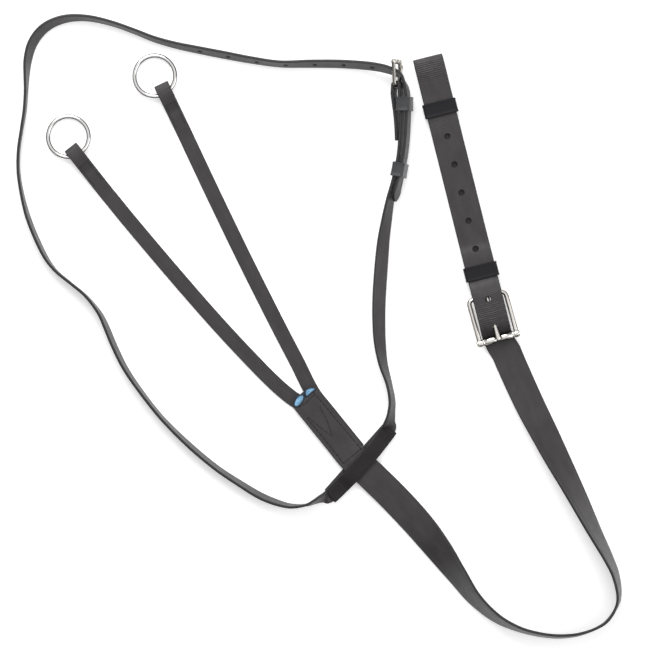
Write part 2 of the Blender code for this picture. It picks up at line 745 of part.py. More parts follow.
GIRTH_SIZE = {
    "inner": GIRTH_INNER,
    "length": GIRTH_LENGTH,
    "side": 2.0,
    "bar": GIRTH_BAR_RADIUS,
    "eye": 3.0,
    "eye_length": 5.4,
    "pin": 1.5,
    "roller": 3.0,
    "groove": 0.8,
    "tip": GIRTH_PRONG_TIP,
}
NECK_SIZE = {
    "inner": NECK_INNER,
    "length": NECK_LENGTH,
    "side": 1.7,
    "bar": NECK_BAR_RADIUS,
    "eye": 2.1,
    "eye_length": 3.6,
    "pin": 1.0,
    "roller": 2.1,
    "groove": 0.5,
    "tip": NECK_PRONG_TIP,
}


# ---------------------------------------------------------------- girth loop's keepers and stitching


def make_girth_keepers():
    low = LOOP_LIFT
    base = Vector((GIRTH_BAR.x, GIRTH_BAR.y, 0.0))
    three = 3 * PLY + 2 * GAP + 0.5
    two = 2 * PLY + GAP + 0.5
    wide = BODY_WIDTH + 0.8
    fixed = base + GIRTH_DIR * GIRTH_FIXED_KEEPER + UP * (low + three / 2 - 0.2)
    band("girth_keeper_fixed", placed(fixed, GIRTH_DIR, UP), (wide, three + 0.4), KEEPER_WIDTH, KEEPER)
    runner = base + GIRTH_DIR * GIRTH_RUNNING_KEEPER + UP * (low + two / 2 - 0.2)
    inner = (wide, two + 0.5)
    moving = band("girth_keeper_runner", placed(runner, GIRTH_DIR, UP), inner, KEEPER_WIDTH, KEEPER)
    pivot("girth_keeper_travel", runner, [moving])
    under = low - GAP - THREAD
    corners = ((29.5, -9.6), (29.5, 9.6), (32.5, 9.6), (32.5, -9.6))
    side = UP.cross(GIRTH_DIR)
    thread(
        "girth_chape_stitching",
        [base + GIRTH_DIR * (s + 1.0) + side * n + UP * under for s, n in corners],
        True,
    )


# ---------------------------------------------------------------- neck strap


def make_crossing():
    left = Vector((-CROSS_DIR.y, CROSS_DIR.x, 0.0))
    frames = [(CROSS + CROSS_DIR * s, left) for s in (0.5 - CROSS_HALF, 0.0, CROSS_HALF - 0.5)]
    crossing = strap("neck_strap_crossing", frames, NECK_WIDTH)
    middle = Vector((CROSS.x, CROSS.y, 0.0)) - left * 1.3
    half = PATCH_LENGTH / 2
    end = PLY + GAP + PATCH_PLY / 2
    top = 2 * PLY + 2 * GAP + 0.3 + PATCH_PLY / 2
    profile = [(-half, end), (-half + 14, end + 0.05), (-17.5, top - 0.6), (-12.0, top)]
    profile += [(0.0, top + 0.1), (12.0, top), (17.5, top - 0.6), (half - 14, end + 0.05), (half, end)]
    frames = in_plane(profile, middle, CROSS_DIR, left, 7.0)
    bowed = []
    for centre, side in frames:
        s = (centre - middle).dot(CROSS_DIR)
        bowed.append((centre - left * 2.0 * (1 - (s / half) ** 2), side))
    patch = strap("neck_loop_patch", bowed, PATCH_WIDTH, PATCHING, PATCH_PLY)
    pieces = [crossing, patch]
    height = end + PATCH_PLY / 2 + GAP + THREAD
    for name, sign in (("lower", -1), ("upper", 1)):
        corners = ((half - 2.0, 4.6), (half - 2.0, -4.2), (half - 12.5, -4.2), (half - 12.5, 4.6))
        points = []
        for s, n in corners:
            drop = 0.0 if s > half - 5 else 0.25
            points.append(middle + CROSS_DIR * sign * s + left * n + UP * (height + drop))
        pieces.append(thread(f"patch_stitching_{name}", points, True))
    pivot("neck_travel", CROSS, pieces)


NECK_LONG = (
    (-1.5, -58.0, 0.0, 0.0),
    (-3.0, -59.7, 0.0, 0.0),
    (-10.2, -62.4, -50.0, 0.3),
    (-16.6, -64.2, -79.0, 0.0),
    (-23.4, -65.7, -92.5, 0.0),
    (-33.7, -66.0, -99.0, 0.0),
    (-45.3, -63.3, -106.0, 0.0),
    (-60.0, -57.4, -110.0, 0.0),
    (-77.3, -47.1, -107.5, 0.0),
    (-98.6, -32.9, -105.0, 0.0),
    (-122.1, -13.3, -104.0, 0.0),
    (-145.0, 9.3, -100.0, 0.0),
    (-161.6, 29.8, -100.0, 0.0),
    (-177.5, 52.9, -103.0, 0.0),
    (-187.6, 73.2, -105.0, 0.0),
    (-194.8, 90.5, -104.0, 0.0),
    (-200.5, 102.0, -99.0, 0.0),
    (-212.1, 116.4, -92.0, 0.0),
    (-225.1, 127.3, -91.0, 0.0),
    (-238.0, 138.1, -93.0, 0.0),
    (-246.7, 149.6, -99.0, 0.0),
    (-255.3, 167.0, -101.0, 0.0),
    (-262.6, 185.7, -100.0, 0.0),
    (-267.6, 204.9, -95.0, 0.0),
    (-270.7, 224.7, -92.0, 0.0),
    (-270.5, 243.4, -91.0, 0.0),
    (-268.0, 261.0, -91.5, 0.0),
    (-265.3, 278.1, -93.5, 0.0),
    (-264.1, 295.5, -95.5, 0.0),
    (-263.7, 308.8, -103.0, 0.0),
    (-262.6, 322.1, -114.0, 0.0),
    (-258.8, 335.6, -121.0, 0.0),
    (-251.5, 346.3, -122.5, 0.0),
    (-242.3, 353.1, -118.0, 0.0),
    (-230.5, 357.3, -113.0, 0.0),
    (-217.5, 358.4, -107.0, 0.0),
    (-204.6, 357.1, -103.5, 0.0),
    (-187.2, 352.7, -101.5, 0.0),
    (-169.9, 346.5, -101.5, 0.0),
    (-152.7, 339.8, -104.0, 0.0),
    (-134.9, 334.7, -107.0, 0.0),
    (-113.0, 330.1, -110.0, 0.0),
    (-91.3, 325.9, -111.0, 0.0),
    (-69.4, 321.8, -108.5, 0.0),
    (-43.5, 318.2, -107.0, 0.0),
    (-17.4, 318.4, -112.5, 0.0),
    (8.7, 318.2, -114.0, 0.3),
    (30.5, 316.7, -115.0, 1.6),
    (43.0, 314.9, -114.0, 3.4),
    (51.0, 312.8, -112.0, 4.1),
    (57.2, 310.4, -108.0, 4.3),
    (61.4, 307.2, -102.0, 4.6),
    (64.6, 302.2, -86.0, 5.0),
    (66.4, 296.6, -77.0, 5.3),
    (67.5, 287.0, -74.5, 5.3),
    (67.8, 276.0, -74.5, 5.1),
    (67.4, 264.0, -74.0, 4.7),
    (66.5, 250.0, -74.0, 4.3),
    (65.0, 238.0, -74.0, 4.1),
    (62.7, 226.0, -73.0, 4.0),
    (59.9, 214.0, -70.0, 3.5),
    (56.2, 199.0, -62.0, 2.6),
)

NECK_SHORT = (
    (52.4, 2.8, 0.0, 0.0),
    (53.4, 4.3, 0.0, 0.0),
    (53.0, 9.4, 46.0, 0.3),
    (53.4, 16.0, 71.0, 0.0),
    (53.7, 25.5, 75.0, 0.0),
    (51.2, 40.0, 71.5, 0.0),
    (46.0, 58.0, 58.0, 0.0),
    (43.2, 77.0, 42.0, 0.0),
    (42.4, 95.7, 35.0, 0.0),
    (42.6, 113.3, 32.0, 0.0),
    (43.6, 130.7, 31.0, 0.0),
    (44.9, 147.9, 33.0, 0.0),
    (46.5, 165.3, 41.0, 0.3),
    (49.2, 183.0, 52.0, 0.9),
    (52.2, 200.0, 63.0, 1.8),
    (55.6, 214.0, 70.0, 2.6),
    (58.2, 226.0, 73.0, 2.9),
    (60.4, 238.0, 74.0, 3.0),
    (61.8, 252.0, 74.5, 3.2),
    (62.6, 266.0, 75.0, 3.6),
    (62.5, 278.0, 74.0, 3.9),
    (61.9, 288.0, 72.5, 4.1),
)
NECK_CHAPE = (
    (55.3, 292.5, 9.6, 73.0),
    (56.2, 284.0, 9.3, 74.0),
    (57.3, 276.0, 9.0, 75.0),
    (58.3, 264.0, 8.7, 75.5),
    (58.9, 252.0, 8.4, 75.0),
)


def make_neck_strap():
    """The long run from the crossing round to the buckle and its billet."""
    frames = lying(NECK_LONG, NECK_WIDTH, STEP, -CROSS_DIR)
    obj = strap("neck_strap", pointed(frames), NECK_WIDTH)
    bm = bmesh.new()
    for centre, tangent, up in neck_holes(frames):
        add_cylinder(bm, placed(centre, tangent, up), NECK_HOLE_RADIUS, PLY + 2.0, 8)
    cut(obj, bm, "neck_hole_cutter")
    # The hole that the tongue stands in
    prong = (NECK_PRONG_TIP - NECK_BAR).normalized()
    across = NECK_PLACE.to_3x3() @ UP
    bm = bmesh.new()
    at = NECK_BAR + prong * NECK_TONGUE_SLOT_AT + across * 0.4
    add_box(bm, placed(at, prong, across), NECK_TONGUE_SLOT)
    cut(obj, bm, "neck_prong_cutter")
    return obj


def neck_holes(frames):
    """(centre, tangent, normal) of each hole of the neck strap, evenly spaced along it."""
    first = Vector(NECK_HOLES_FROM)
    nearest = min(range(len(frames)), key=lambda i: (frames[i][0].xy - first).length)
    travelled = 0.0
    wanted = 0
    for i in range(nearest, len(frames) - 1):
        step = (frames[i + 1][0] - frames[i][0]).length
        while wanted < NECK_HOLE_COUNT and travelled + step >= wanted * HOLE_PITCH:
            share = (wanted * HOLE_PITCH - travelled) / step
            centre, tangent, _, up = axes_at(frames, i)
            yield centre.lerp(frames[i + 1][0], share), tangent, up
            wanted += 1
        travelled += step


def make_neck_buckle_end():
    """The short run from the crossing to the fixed bar, round it and back as the chape."""
    frames = lying(NECK_SHORT, NECK_WIDTH, STEP, CROSS_DIR)
    wrap = NECK_BAR_RADIUS + NECK_WRAP_GAP + LOW
    along, across, rise = NECK_PLACE.to_3x3().col
    loop = [(NECK_BAR + rise * a + along * b, across) for a, b in arc((0.0, 0.0), wrap, 0, 180, 8)]
    chape = []
    for x, y, z, roll in NECK_CHAPE:
        angle = math.radians(roll)
        chape.append((Vector((x, y, z)), Vector((-math.cos(angle), 0.0, math.sin(angle)))))
    obj = strap("neck_strap_buckle_end", frames + loop + chape, NECK_WIDTH)
    bm = bmesh.new()
    add_box(bm, placed(NECK_BAR + along * NECK_CHAPE_SLOT_AT, along, rise), NECK_CHAPE_SLOT)
    cut(obj, bm, "neck_chape_cutter")
    return obj


def make_neck_keepers():
    for name, (at, turn, inner, travels) in NECK_KEEPERS.items():
        heading = Vector((math.sin(math.radians(turn)), math.cos(math.radians(turn)), 0.0))
        right = Vector((heading.y, -heading.x, 0.0))
        outward = right * math.cos(KEEPER_LEAN) + UP * math.sin(KEEPER_LEAN)
        keeper = band(name, placed(at, heading, outward), inner, KEEPER_WIDTH, KEEPER_GREY)
        if travels:
            pivot("neck_keeper_travel", at, [keeper])


def make_neck_stitching():
    points = [(56.5, 254.0), (56.2, 262.0), (55.5, 270.0)]
    thread("neck_chape_stitching", [Vector((x, y, 9.4)) for x, y in points], False)


make_fork_roots()
make_inlays()
make_fork_stitching()
make_fork("left", LEFT_FORK, LEFT_WIRE, LEFT_RING_TURN)
make_fork("right", RIGHT_FORK, RIGHT_WIRE, RIGHT_RING_TURN)
make_body_strap()
make_girth_strap()
roller_buckle("girth_buckle", GIRTH_PLACE, GIRTH_SIZE)
make_girth_keepers()
make_crossing()
make_neck_strap()
make_neck_buckle_end()
roller_buckle("neck_buckle", NECK_PLACE, NECK_SIZE)
make_neck_keepers()
make_neck_stitching()
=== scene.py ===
"""The finished look of a martingale for a horse, laid out flat on a pale table.

Every strap, buckle, ring, keeper and stitch is modelled here in full detail over its plain node in the
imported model. Lengths are in millimetres and are turned into metres where meshes are made. The origin is
on the table under the fork joint, +Z is up, +Y points away from the girth along the girth loop.
"""

import math

import bmesh
import bpy
from mathutils import Matrix, Vector


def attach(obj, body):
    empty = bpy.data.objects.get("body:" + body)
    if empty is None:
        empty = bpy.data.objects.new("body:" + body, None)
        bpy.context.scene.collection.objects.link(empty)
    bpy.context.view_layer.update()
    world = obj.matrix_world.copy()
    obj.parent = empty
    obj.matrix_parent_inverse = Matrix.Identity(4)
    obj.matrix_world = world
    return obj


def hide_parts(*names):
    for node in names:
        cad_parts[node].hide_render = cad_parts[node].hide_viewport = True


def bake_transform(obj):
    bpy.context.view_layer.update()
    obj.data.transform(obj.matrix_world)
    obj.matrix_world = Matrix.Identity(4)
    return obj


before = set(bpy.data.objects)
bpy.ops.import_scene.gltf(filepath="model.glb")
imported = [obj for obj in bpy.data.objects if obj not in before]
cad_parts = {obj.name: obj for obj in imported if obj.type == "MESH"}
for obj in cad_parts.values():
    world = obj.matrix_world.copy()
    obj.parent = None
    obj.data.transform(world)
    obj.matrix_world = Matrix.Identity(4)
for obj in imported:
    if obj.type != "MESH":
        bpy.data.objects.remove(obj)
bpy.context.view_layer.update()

MM = 0.001
GAP = 0.3

# Straps
PLY = 2.4
BODY_WIDTH = 26.2
FORK_WIDTH = 13.0
NECK_WIDTH = 13.0
PATCH_PLY = 1.8
PATCH_WIDTH = 13.4
PATCH_LENGTH = 78.6
STEP = 2.0
FINE_STEP = 1.2
HOLE_RADIUS = 2.4
NECK_HOLE_RADIUS = 1.7
HOLE_PITCH = 25.2
KEEPER_WIDTH = 12.4
KEEPER_PLY = 1.5

# Stitching: a stitch's share of its pitch, its width and height, and the size of a needle hole's painted
# shade
STITCH_SHARE = 0.66
STITCH_WIDTH = 0.75
STITCH_HEIGHT = 0.6
STITCH_PITCH = 4.7
HOLE_SHADE_SIZE = Vector((1.9, 1.35, 0.4))

# Fork joint: the direction of the body strap where it leaves the joint, and the axis across it
BODY_DIR = Vector((0.628, -0.778, 0.0))
BODY_SIDE = Vector((0.778, 0.628, 0.0))
BODY_OFFSET = 0.4
ROOT_OFFSET = 6.8
ROOT_SEAM = 1.2
ROOT_END = 28.0
BODY_END = -34.6
LOW = PLY / 2
OVER = PLY * 1.5 + GAP

# Rein rings
RING_RADIUS = 17.75
RING_WIRE = 1.75
RING_LOOP_TOP = 9.0
RING_WIRE_HEIGHT = PLY + GAP + RING_WIRE
RING_TILT = math.asin((RING_WIRE_HEIGHT - RING_WIRE - 0.05) / (2 * RING_RADIUS))

# Girth buckle: place of the fixed bar, and the heading of the girth loop away from the buckle
GIRTH_BAR = Vector((136.6, 116.6, 6.4))
GIRTH_DIR = Vector((-0.2425, 0.9701, 0.0))
GIRTH_BAR_RADIUS = 1.75
GIRTH_INNER = 28.7
GIRTH_LENGTH = 38.3
LOOP_LIFT = 1.9
GIRTH_FOLD = 214.2
GIRTH_TURN = 1.5
GIRTH_SHIFT = 0.5
GIRTH_WRAP_GAP = 0.5
FIRST_GIRTH_HOLE = 142.9
GIRTH_FIXED_KEEPER = 21.6
GIRTH_RUNNING_KEEPER = 168.0
GIRTH_TONGUE_RISE = 4.75
GIRTH_TONGUE_SLOT = (9.8, 4.4, 5.4)
GIRTH_TONGUE_SLOT_AT = 30.8
GIRTH_CHAPE_SLOT = (14.6, 6.6, 9.4)
GIRTH_CHAPE_SLOT_AT = 1.6

# Neck buckle
NECK_BAR = Vector((58.6, 299.3, 10.95))
NECK_BAR_RADIUS = 1.4
NECK_WRAP_GAP = 0.35
NECK_INNER = 14.4
NECK_LENGTH = 20.6
NECK_LEAN = math.radians(18.0)
KEEPER_LEAN = math.radians(15.0)
NECK_HOLES_FROM = (-113.0, 330.0)
NECK_HOLE_COUNT = 7
NECK_TONGUE_REACH = 17.2
NECK_TONGUE_RISE = 5.0
NECK_TONGUE_SLOT = (9.6, 4.2, 5.0)
NECK_TONGUE_SLOT_AT = 9.0
NECK_CHAPE_SLOT = (8.6, 5.2, 10.4)
NECK_CHAPE_SLOT_AT = 0.9

# Neck crossing
CROSS = Vector((25.3, -27.8, LOW))
CROSS_DIR = Vector((0.663, 0.748, 0.0)).normalized()
FLAT_HALF = 37.5

UP = Vector((0.0, 0.0, 1.0))

# Scale of the wave texture that draws ribs about 1.7 mm apart
RIB_SCALE = 1.85

# Camera and light
CAMERA_HEIGHT = 5.0
VIEW_WIDTH = 0.5742
VIEW_MIDDLE = (0.0, 0.087)
SENSOR = 36.0


# ---- Materials ----


class Nodes:
    """A short way to build a material's node tree."""

    def __init__(self, name):
        self.material = bpy.data.materials.new(name)
        self.material.use_nodes = True
        self.tree = self.material.node_tree
        self.shader = self.tree.nodes["Principled BSDF"]

    def add(self, kind, **settings):
        node = self.tree.nodes.new(f"ShaderNode{kind}")
        for key, value in settings.items():
            setattr(node, key, value)
        return node

    def link(self, source, target):
        self.tree.links.new(source, target)

    def set_inputs(self, node, values):
        for name, value in values.items():
            node.inputs[name].default_value = value

    def texture(self, kind, vector, values, **settings):
        """A node that reads these coordinates."""
        node = self.add(kind, **settings)
        self.set_inputs(node, values)
        self.link(vector, node.inputs["Vector"])
        return node

    def noise(self, vector, scale, detail=3.0, roughness=0.5, stretch=None):
        """A noise texture's value; `stretch` scales its coordinates per axis."""
        if stretch:
            vector = self.texture("Mapping", vector, {"Scale": stretch}).outputs["Vector"]
        values = {"Scale": scale, "Detail": detail, "Roughness": roughness}
        return self.texture("TexNoise", vector, values).outputs["Fac"]

    def bands(self, vector, direction, profile, values):
        """The value of a wave texture with straight bands."""
        settings = {"wave_type": "BANDS", "bands_direction": direction, "wave_profile": profile}
        return self.texture("TexWave", vector, values, **settings).outputs["Fac"]

    def ramp(self, value, stops):
        """A colour ramp of (position, colour or grey) stops."""
        node = self.add("ValToRGB")
        elements = node.color_ramp.elements
        while len(elements) < len(stops):
            elements.new(0.5)
        for element, (position, color) in zip(elements, stops):
            element.position = position
            element.color = (*color, 1.0) if isinstance(color, tuple) else (color, color, color, 1.0)
        self.link(value, node.inputs["Fac"])
        return node.outputs["Color"]

    def feed(self, socket, value):
        """Sets a socket to a number or a colour, or links it to another node's output."""
        if isinstance(value, tuple):
            socket.default_value = (*value, 1.0)
        elif isinstance(value, (int, float)):
            socket.default_value = value
        else:
            self.link(value, socket)

    def math(self, operation, first, second):
        node = self.add("Math", operation=operation)
        self.feed(node.inputs[0], first)
        self.feed(node.inputs[1], second)
        return node.outputs["Value"]

    def mix(self, factor, first, second):
        node = self.add("Mix", data_type="RGBA")
        for index, value in ((0, factor), (6, first), (7, second)):
            self.feed(node.inputs[index], value)
        return node.outputs[2]

    def bump(self, height, strength, distance, below=None):
        node = self.add("Bump")
        self.set_inputs(node, {"Strength": strength, "Distance": distance * MM})
        self.link(height, node.inputs["Height"])
        if below:
            self.link(below, node.inputs["Normal"])
        return node.outputs["Normal"]

    def uv(self):
        """Along and across a strap, in centimetres."""
        return self.add("UVMap", uv_map="weave").outputs["UV"]

    def position(self):
        return self.add("TexCoord").outputs["Object"]

    def finish(self, color, roughness, normal):
        self.link(color, self.shader.inputs["Base Color"])
        self.link(roughness, self.shader.inputs["Roughness"])
        self.link(normal, self.shader.inputs["Normal"])
        return self.material


def coated_webbing(name, dark, light, rough=(0.40, 0.52), specular=0.42):
    """A satin coating over webbing: faint grain, soft marks, and fine ribs where the strap bends."""
    n = Nodes(name)
    sheen = {"Sheen Weight": 0.05, "Sheen Roughness": 0.5}
    n.set_inputs(n.shader, {"IOR": 1.46, "Specular IOR Level": specular, **sheen})
    uv = n.uv()
    cloud = n.noise(uv, 0.55, 4.0, 0.6, (1.0, 2.2, 1.0))
    color = n.ramp(cloud, ((0.3, dark), (0.72, light)))
    streak = n.noise(uv, 3.2, 3.0, 0.6, (0.25, 3.0, 1.0))
    color = n.mix(n.math("MULTIPLY", streak, 0.14), color, light)
    waves = {"Scale": RIB_SCALE, "Distortion": 1.8, "Detail": 2.0, "Detail Scale": 0.9}
    wave = n.bands(uv, "X", "SIN", waves)
    uneven = n.ramp(n.noise(uv, 2.2, 2.0, 0.5, (1.6, 0.5, 1.0)), ((0.35, 0.25), (0.65, 1.0)))
    strength = n.math("MULTIPLY", n.add("Attribute", attribute_name="ribs").outputs["Fac"], uneven)
    rib = n.math("MULTIPLY", wave, strength)
    color = n.mix(n.math("MULTIPLY", rib, 0.6), color, light)
    warp = n.bands(uv, "X", "TRI", {"Scale": 4.6, "Distortion": 0.6})
    weft = n.bands(uv, "Y", "TRI", {"Scale": 5.4, "Distortion": 0.6})
    check = n.math("ADD", warp, weft)
    grain = n.noise(uv, 14.0, 3.0, 0.65)
    wear = n.noise(uv, 1.6, 2.0, 0.5)
    roughness = n.ramp(wear, ((0.25, rough[0]), (0.75, rough[1])))
    normal = n.bump(grain, 0.35, 0.05)
    normal = n.bump(check, 0.32, 0.06, normal)
    normal = n.bump(rib, 1.0, 0.45, normal)
    return n.finish(color, roughness, normal)


def cut_edge(name, color):
    """The cut edge of a strap: darker, matt and slightly fibrous."""
    n = Nodes(name)
    uv = n.uv()
    fibre = n.noise(uv, 9.0, 4.0, 0.7, (0.6, 6.0, 1.0))
    shade = n.ramp(fibre, ((0.3, tuple(c * 0.6 for c in color)), (0.75, color)))
    roughness = n.ramp(fibre, ((0.2, 0.5), (0.8, 0.68)))
    return n.finish(shade, roughness, n.bump(fibre, 0.5, 0.12))


def bright_steel(name, color, side, low, high):
    """Faintly brushed polished steel, whose colour is painted darker on the bars' sides as painted shade.
    """
    n = Nodes(name)
    n.set_inputs(n.shader, {"Metallic": 1.0, "Specular Tint": (*side, 1.0)})
    place = n.position()
    brushed = n.noise(place, 900.0, 3.0, 0.6, (1.0, 1.0, 0.15))
    patch = n.noise(place, 60.0, 3.0, 0.5)
    shade = n.ramp(patch, ((0.3, tuple(c * 0.92 for c in color)), (0.65, color)))
    sides = n.add("Attribute", attribute_name="side").outputs["Fac"]
    # Painted shade: the colour turns to the darker side colour round the bars' sides, standing in for dark
    # edge reflections.
    painted_edge_shade = n.ramp(n.math("ADD", sides, n.math("MULTIPLY", patch, 0.3)), ((0.72, 0.0), (1.1, 1.0)))
    shade = n.mix(painted_edge_shade, shade, side)
    roughness = n.ramp(patch, ((0.3, high), (0.7, low)))
    return n.finish(shade, roughness, n.bump(brushed, 0.08, 0.02))


def twisted_thread(name, color):
    """Bonded thread with its twist."""
    n = Nodes(name)
    place = n.position()
    strand = n.noise(place, 1400.0, 2.0, 0.5)
    shade = n.ramp(strand, ((0.3, tuple(c * 0.5 for c in color)), (0.7, color)))
    return n.finish(shade, n.ramp(strand, ((0.2, 0.55), (0.8, 0.75))), n.bump(strand, 0.5, 0.1))


def rubber_inlay(name, dark, light):
    """The blue edge filling at the fork, a little uneven."""
    n = Nodes(name)
    place = n.position()
    cloud = n.noise(place, 420.0, 4.0, 0.65)
    shade = n.ramp(cloud, ((0.36, dark), (0.6, light)))
    return n.finish(shade, n.ramp(cloud, ((0.2, 0.45), (0.8, 0.6))), n.bump(cloud, 0.4, 0.25))


WEBBING = coated_webbing("coated_webbing", (0.023, 0.0205, 0.0215), (0.036, 0.0325, 0.034))
PATCHING = coated_webbing("patch_webbing", (0.008, 0.006, 0.007), (0.014, 0.012, 0.013), specular=0.25)
KEEPER = coated_webbing("keeper_black", (0.005, 0.005, 0.006), (0.010, 0.010, 0.012), specular=0.22)
KEEPER_GREY = coated_webbing("keeper_grey", (0.026, 0.027, 0.029), (0.046, 0.047, 0.050), (0.34, 0.44))
EDGE = cut_edge("cut_edge", (0.016, 0.015, 0.016))
# The third colour of each steel is the painted shade on the sides of its bars and ring wire.
STEEL = bright_steel("bright_steel", (0.76, 0.73, 0.69), (0.20, 0.19, 0.175), 0.16, 0.26)
RING_STEEL = bright_steel("ring_steel", (0.76, 0.75, 0.74), (0.10, 0.10, 0.105), 0.12, 0.2)
THREADS = twisted_thread("black_thread", (0.018, 0.017, 0.018))
# Near-black beads at stitch ends: painted shade standing in for the depth of needle holes.
PAINTED_HOLE_SHADE = twisted_thread("needle_hole_painted_shade", (0.002, 0.002, 0.002))
BLUE = rubber_inlay("blue_inlay", (0.06, 0.18, 0.31), (0.20, 0.42, 0.62))
NAVY = twisted_thread("navy_binding", (0.010, 0.022, 0.042))


# ---- Objects ----


def linked(name, data):
    """A new object with this data, in the scene."""
    obj = bpy.data.objects.new(name, data)
    bpy.context.scene.collection.objects.link(obj)
    return obj


def mesh_from(bm, name, materials):
    """A mesh in metres from a bmesh in millimetres, which it frees."""
    bmesh.ops.recalc_face_normals(bm, faces=bm.faces)
    bm.transform(Matrix.Scale(MM, 4))
    mesh = bpy.data.meshes.new(name)
    bm.to_mesh(mesh)
    bm.free()
    for material in materials:
        mesh.materials.append(material)
    return mesh


def shaded(mesh, sharp=40.0):
    mesh.shade_smooth()
    mesh.set_sharp_from_angle(angle=math.radians(sharp))


def object_from(bm, name, body, materials, nodes=(), sharp=40.0):
    """A piece made of this bmesh, whose points are in millimetres in the world."""
    mesh = mesh_from(bm, name, materials)
    shaded(mesh, sharp)
    obj = linked(name, mesh)
    if nodes:
        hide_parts(*nodes)
    if body:
        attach(obj, body)
    return obj


def cut(obj, bm):
    """Cuts a shape in millimetres out of the object, whose last material lines the cut."""
    mesh = mesh_from(bm, "cutter", obj.data.materials)
    for polygon in mesh.polygons:
        polygon.material_index = len(mesh.materials) - 1
    cutter = linked("cutter", mesh)
    modifier = obj.modifiers.new("cut", "BOOLEAN")
    modifier.operation = "DIFFERENCE"
    modifier.object = cutter
    modifier.solver = "EXACT"
    bpy.context.view_layer.update()
    graph = bpy.context.evaluated_depsgraph_get()
    result = bpy.data.meshes.new_from_object(obj.evaluated_get(graph))
    obj.modifiers.clear()
    obj.data = result
    bpy.data.objects.remove(cutter)
    shaded(result)


def skin(bm, rings, closed=False):
    """Faces between rings of vertices that follow each other, and over both ends unless they close up."""
    for one, two in zip(rings, rings[1:] + rings[:1] if closed else rings[1:]):
        for k in range(len(one)):
            j = (k + 1) % len(one)
            bm.faces.new((one[k], one[j], two[j], two[k]))
    if not closed:
        bm.faces.new(rings[0])
        bm.faces.new(rings[-1])


def placed(origin, x_axis, z_axis):
    """The matrix of a local frame with this origin and these two axes, in millimetres."""
    x = x_axis.normalized()
    y = z_axis.cross(x).normalized()
    z = x.cross(y)
    matrix = Matrix((x, y, z)).transposed().to_4x4()
    matrix.translation = origin
    return matrix


# ---- Smooth routes and strap frames ----


def smooth(points, step):
    """Points about `step` apart on a smooth curve through the given ones; every channel is smoothed."""
    points = [tuple(float(v) for v in p) for p in points]
    chords = [math.dist(a[:2], b[:2]) or 1e-6 for a, b in zip(points, points[1:])]
    slopes = []
    for i in range(len(points)):
        a = points[max(i - 1, 0)]
        b = points[min(i + 1, len(points) - 1)]
        span = sum(chords[max(i - 1, 0) : i + 1])
        slopes.append([(q - p) / span for p, q in zip(a, b)])
    out = []
    for i, chord in enumerate(chords):
        count = max(1, math.ceil(chord / step))
        for k in range(count):
            t = k / count
            h = (2 * t**3 - 3 * t**2 + 1, t**3 - 2 * t**2 + t, -2 * t**3 + 3 * t**2, t**3 - t**2)
            row = zip(points[i], slopes[i], points[i + 1], slopes[i + 1])
            out.append([h[0] * a + h[1] * m * chord + h[2] * b + h[3] * n * chord for a, m, b, n in row])
    out.append(list(points[-1]))
    return out


def lying(route, width, first=None, last=None):
    """Frames (centre, side) of a strap that lies on the table.

    A route point is (x, y, roll, lift), and roll and lift may be left out. Roll 0 is flat, and a positive
    roll raises the left edge.
    """
    rows = smooth([(*point, 0.0, 0.0)[:4] for point in route], STEP)
    frames = []
    for i, (x, y, roll, lift) in enumerate(rows):
        a = rows[max(i - 1, 0)]
        b = rows[min(i + 1, len(rows) - 1)]
        heading = Vector((b[0] - a[0], b[1] - a[1], 0.0)).normalized()
        if i == 0 and first:
            heading = first
        if i == len(rows) - 1 and last:
            heading = last
        left = Vector((-heading.y, heading.x, 0.0))
        angle = math.radians(roll)
        side = left * math.cos(angle) + UP * math.sin(angle)
        height = width / 2 * abs(math.sin(angle)) + PLY / 2 * abs(math.cos(angle)) + lift
        frames.append((Vector((x, y, height)), side))
    for _ in range(3):
        for i, (centre, side) in enumerate(frames):
            _, _, across, up = axes_at(frames, i)
            lowest = centre.z - abs(across.z) * width / 2 - abs(up.z) * PLY / 2
            frames[i] = (centre + UP * max(0.0, -lowest), side)
    return frames


def in_plane(profile, origin, heading, side):
    """Frames of a strap bent in one upright plane: the profile's (s, z) run along heading and up."""
    return [(origin + heading * s + UP * z, side) for s, z in smooth(profile, FINE_STEP)]


def arc(centre, radius, start, end, count):
    """(s, z) points on an arc, with its angles in degrees."""
    points = []
    for k in range(count + 1):
        angle = math.radians(start + (end - start) * k / count)
        points.append((centre[0] + radius * math.cos(angle), centre[1] + radius * math.sin(angle)))
    return points


def spaced(frames, least=0.35):
    """The frames without any that sits on the one before it."""
    kept = [frames[0]]
    for item in frames[1:]:
        if (item[0] - kept[-1][0]).length > least:
            kept.append(item)
    return kept


def axes_at(frames, index):
    """(centre, tangent, side, up) of a strap at one of its frames."""
    before = frames[max(index - 1, 0)][0]
    after = frames[min(index + 1, len(frames) - 1)][0]
    tangent = (after - before).normalized()
    side = frames[index][1]
    side = (side - tangent * side.dot(tangent)).normalized()
    return frames[index][0], tangent, side, tangent.cross(side)


class Track:
    """A strap's middle line, with places on it by their distance from its start."""

    def __init__(self, frames):
        self.rows = [axes_at(frames, i) for i in range(len(frames))]
        self.reach = [0.0]
        for one, two in zip(self.rows, self.rows[1:]):
            self.reach.append(self.reach[-1] + (two[0] - one[0]).length)
        self.length = self.reach[-1]

    def at(self, distance):
        """(centre, tangent, side, up) at this distance."""
        i = 0
        while i < len(self.rows) - 2 and self.reach[i + 1] < distance:
            i += 1
        share = (distance - self.reach[i]) / max(self.reach[i + 1] - self.reach[i], 1e-6)
        one, two = self.rows[i], self.rows[i + 1]
        turned = [a.lerp(b, share).normalized() for a, b in zip(one[1:], two[1:])]
        return [one[0].lerp(two[0], share)] + turned

    def nearest(self, x, y):
        """The distance of the frame nearest to this point, seen from above."""
        point = Vector((x, y))
        return self.reach[min(range(len(self.rows)), key=lambda i: (self.rows[i][0].xy - point).length)]

    def on_face(self, distance, across, rise):
        """A point on the strap's face, and its normal: `rise` is measured from the middle line."""
        centre, _, side, up = self.at(distance)
        return centre + side * across + up * rise, up


# ---- Straps ----


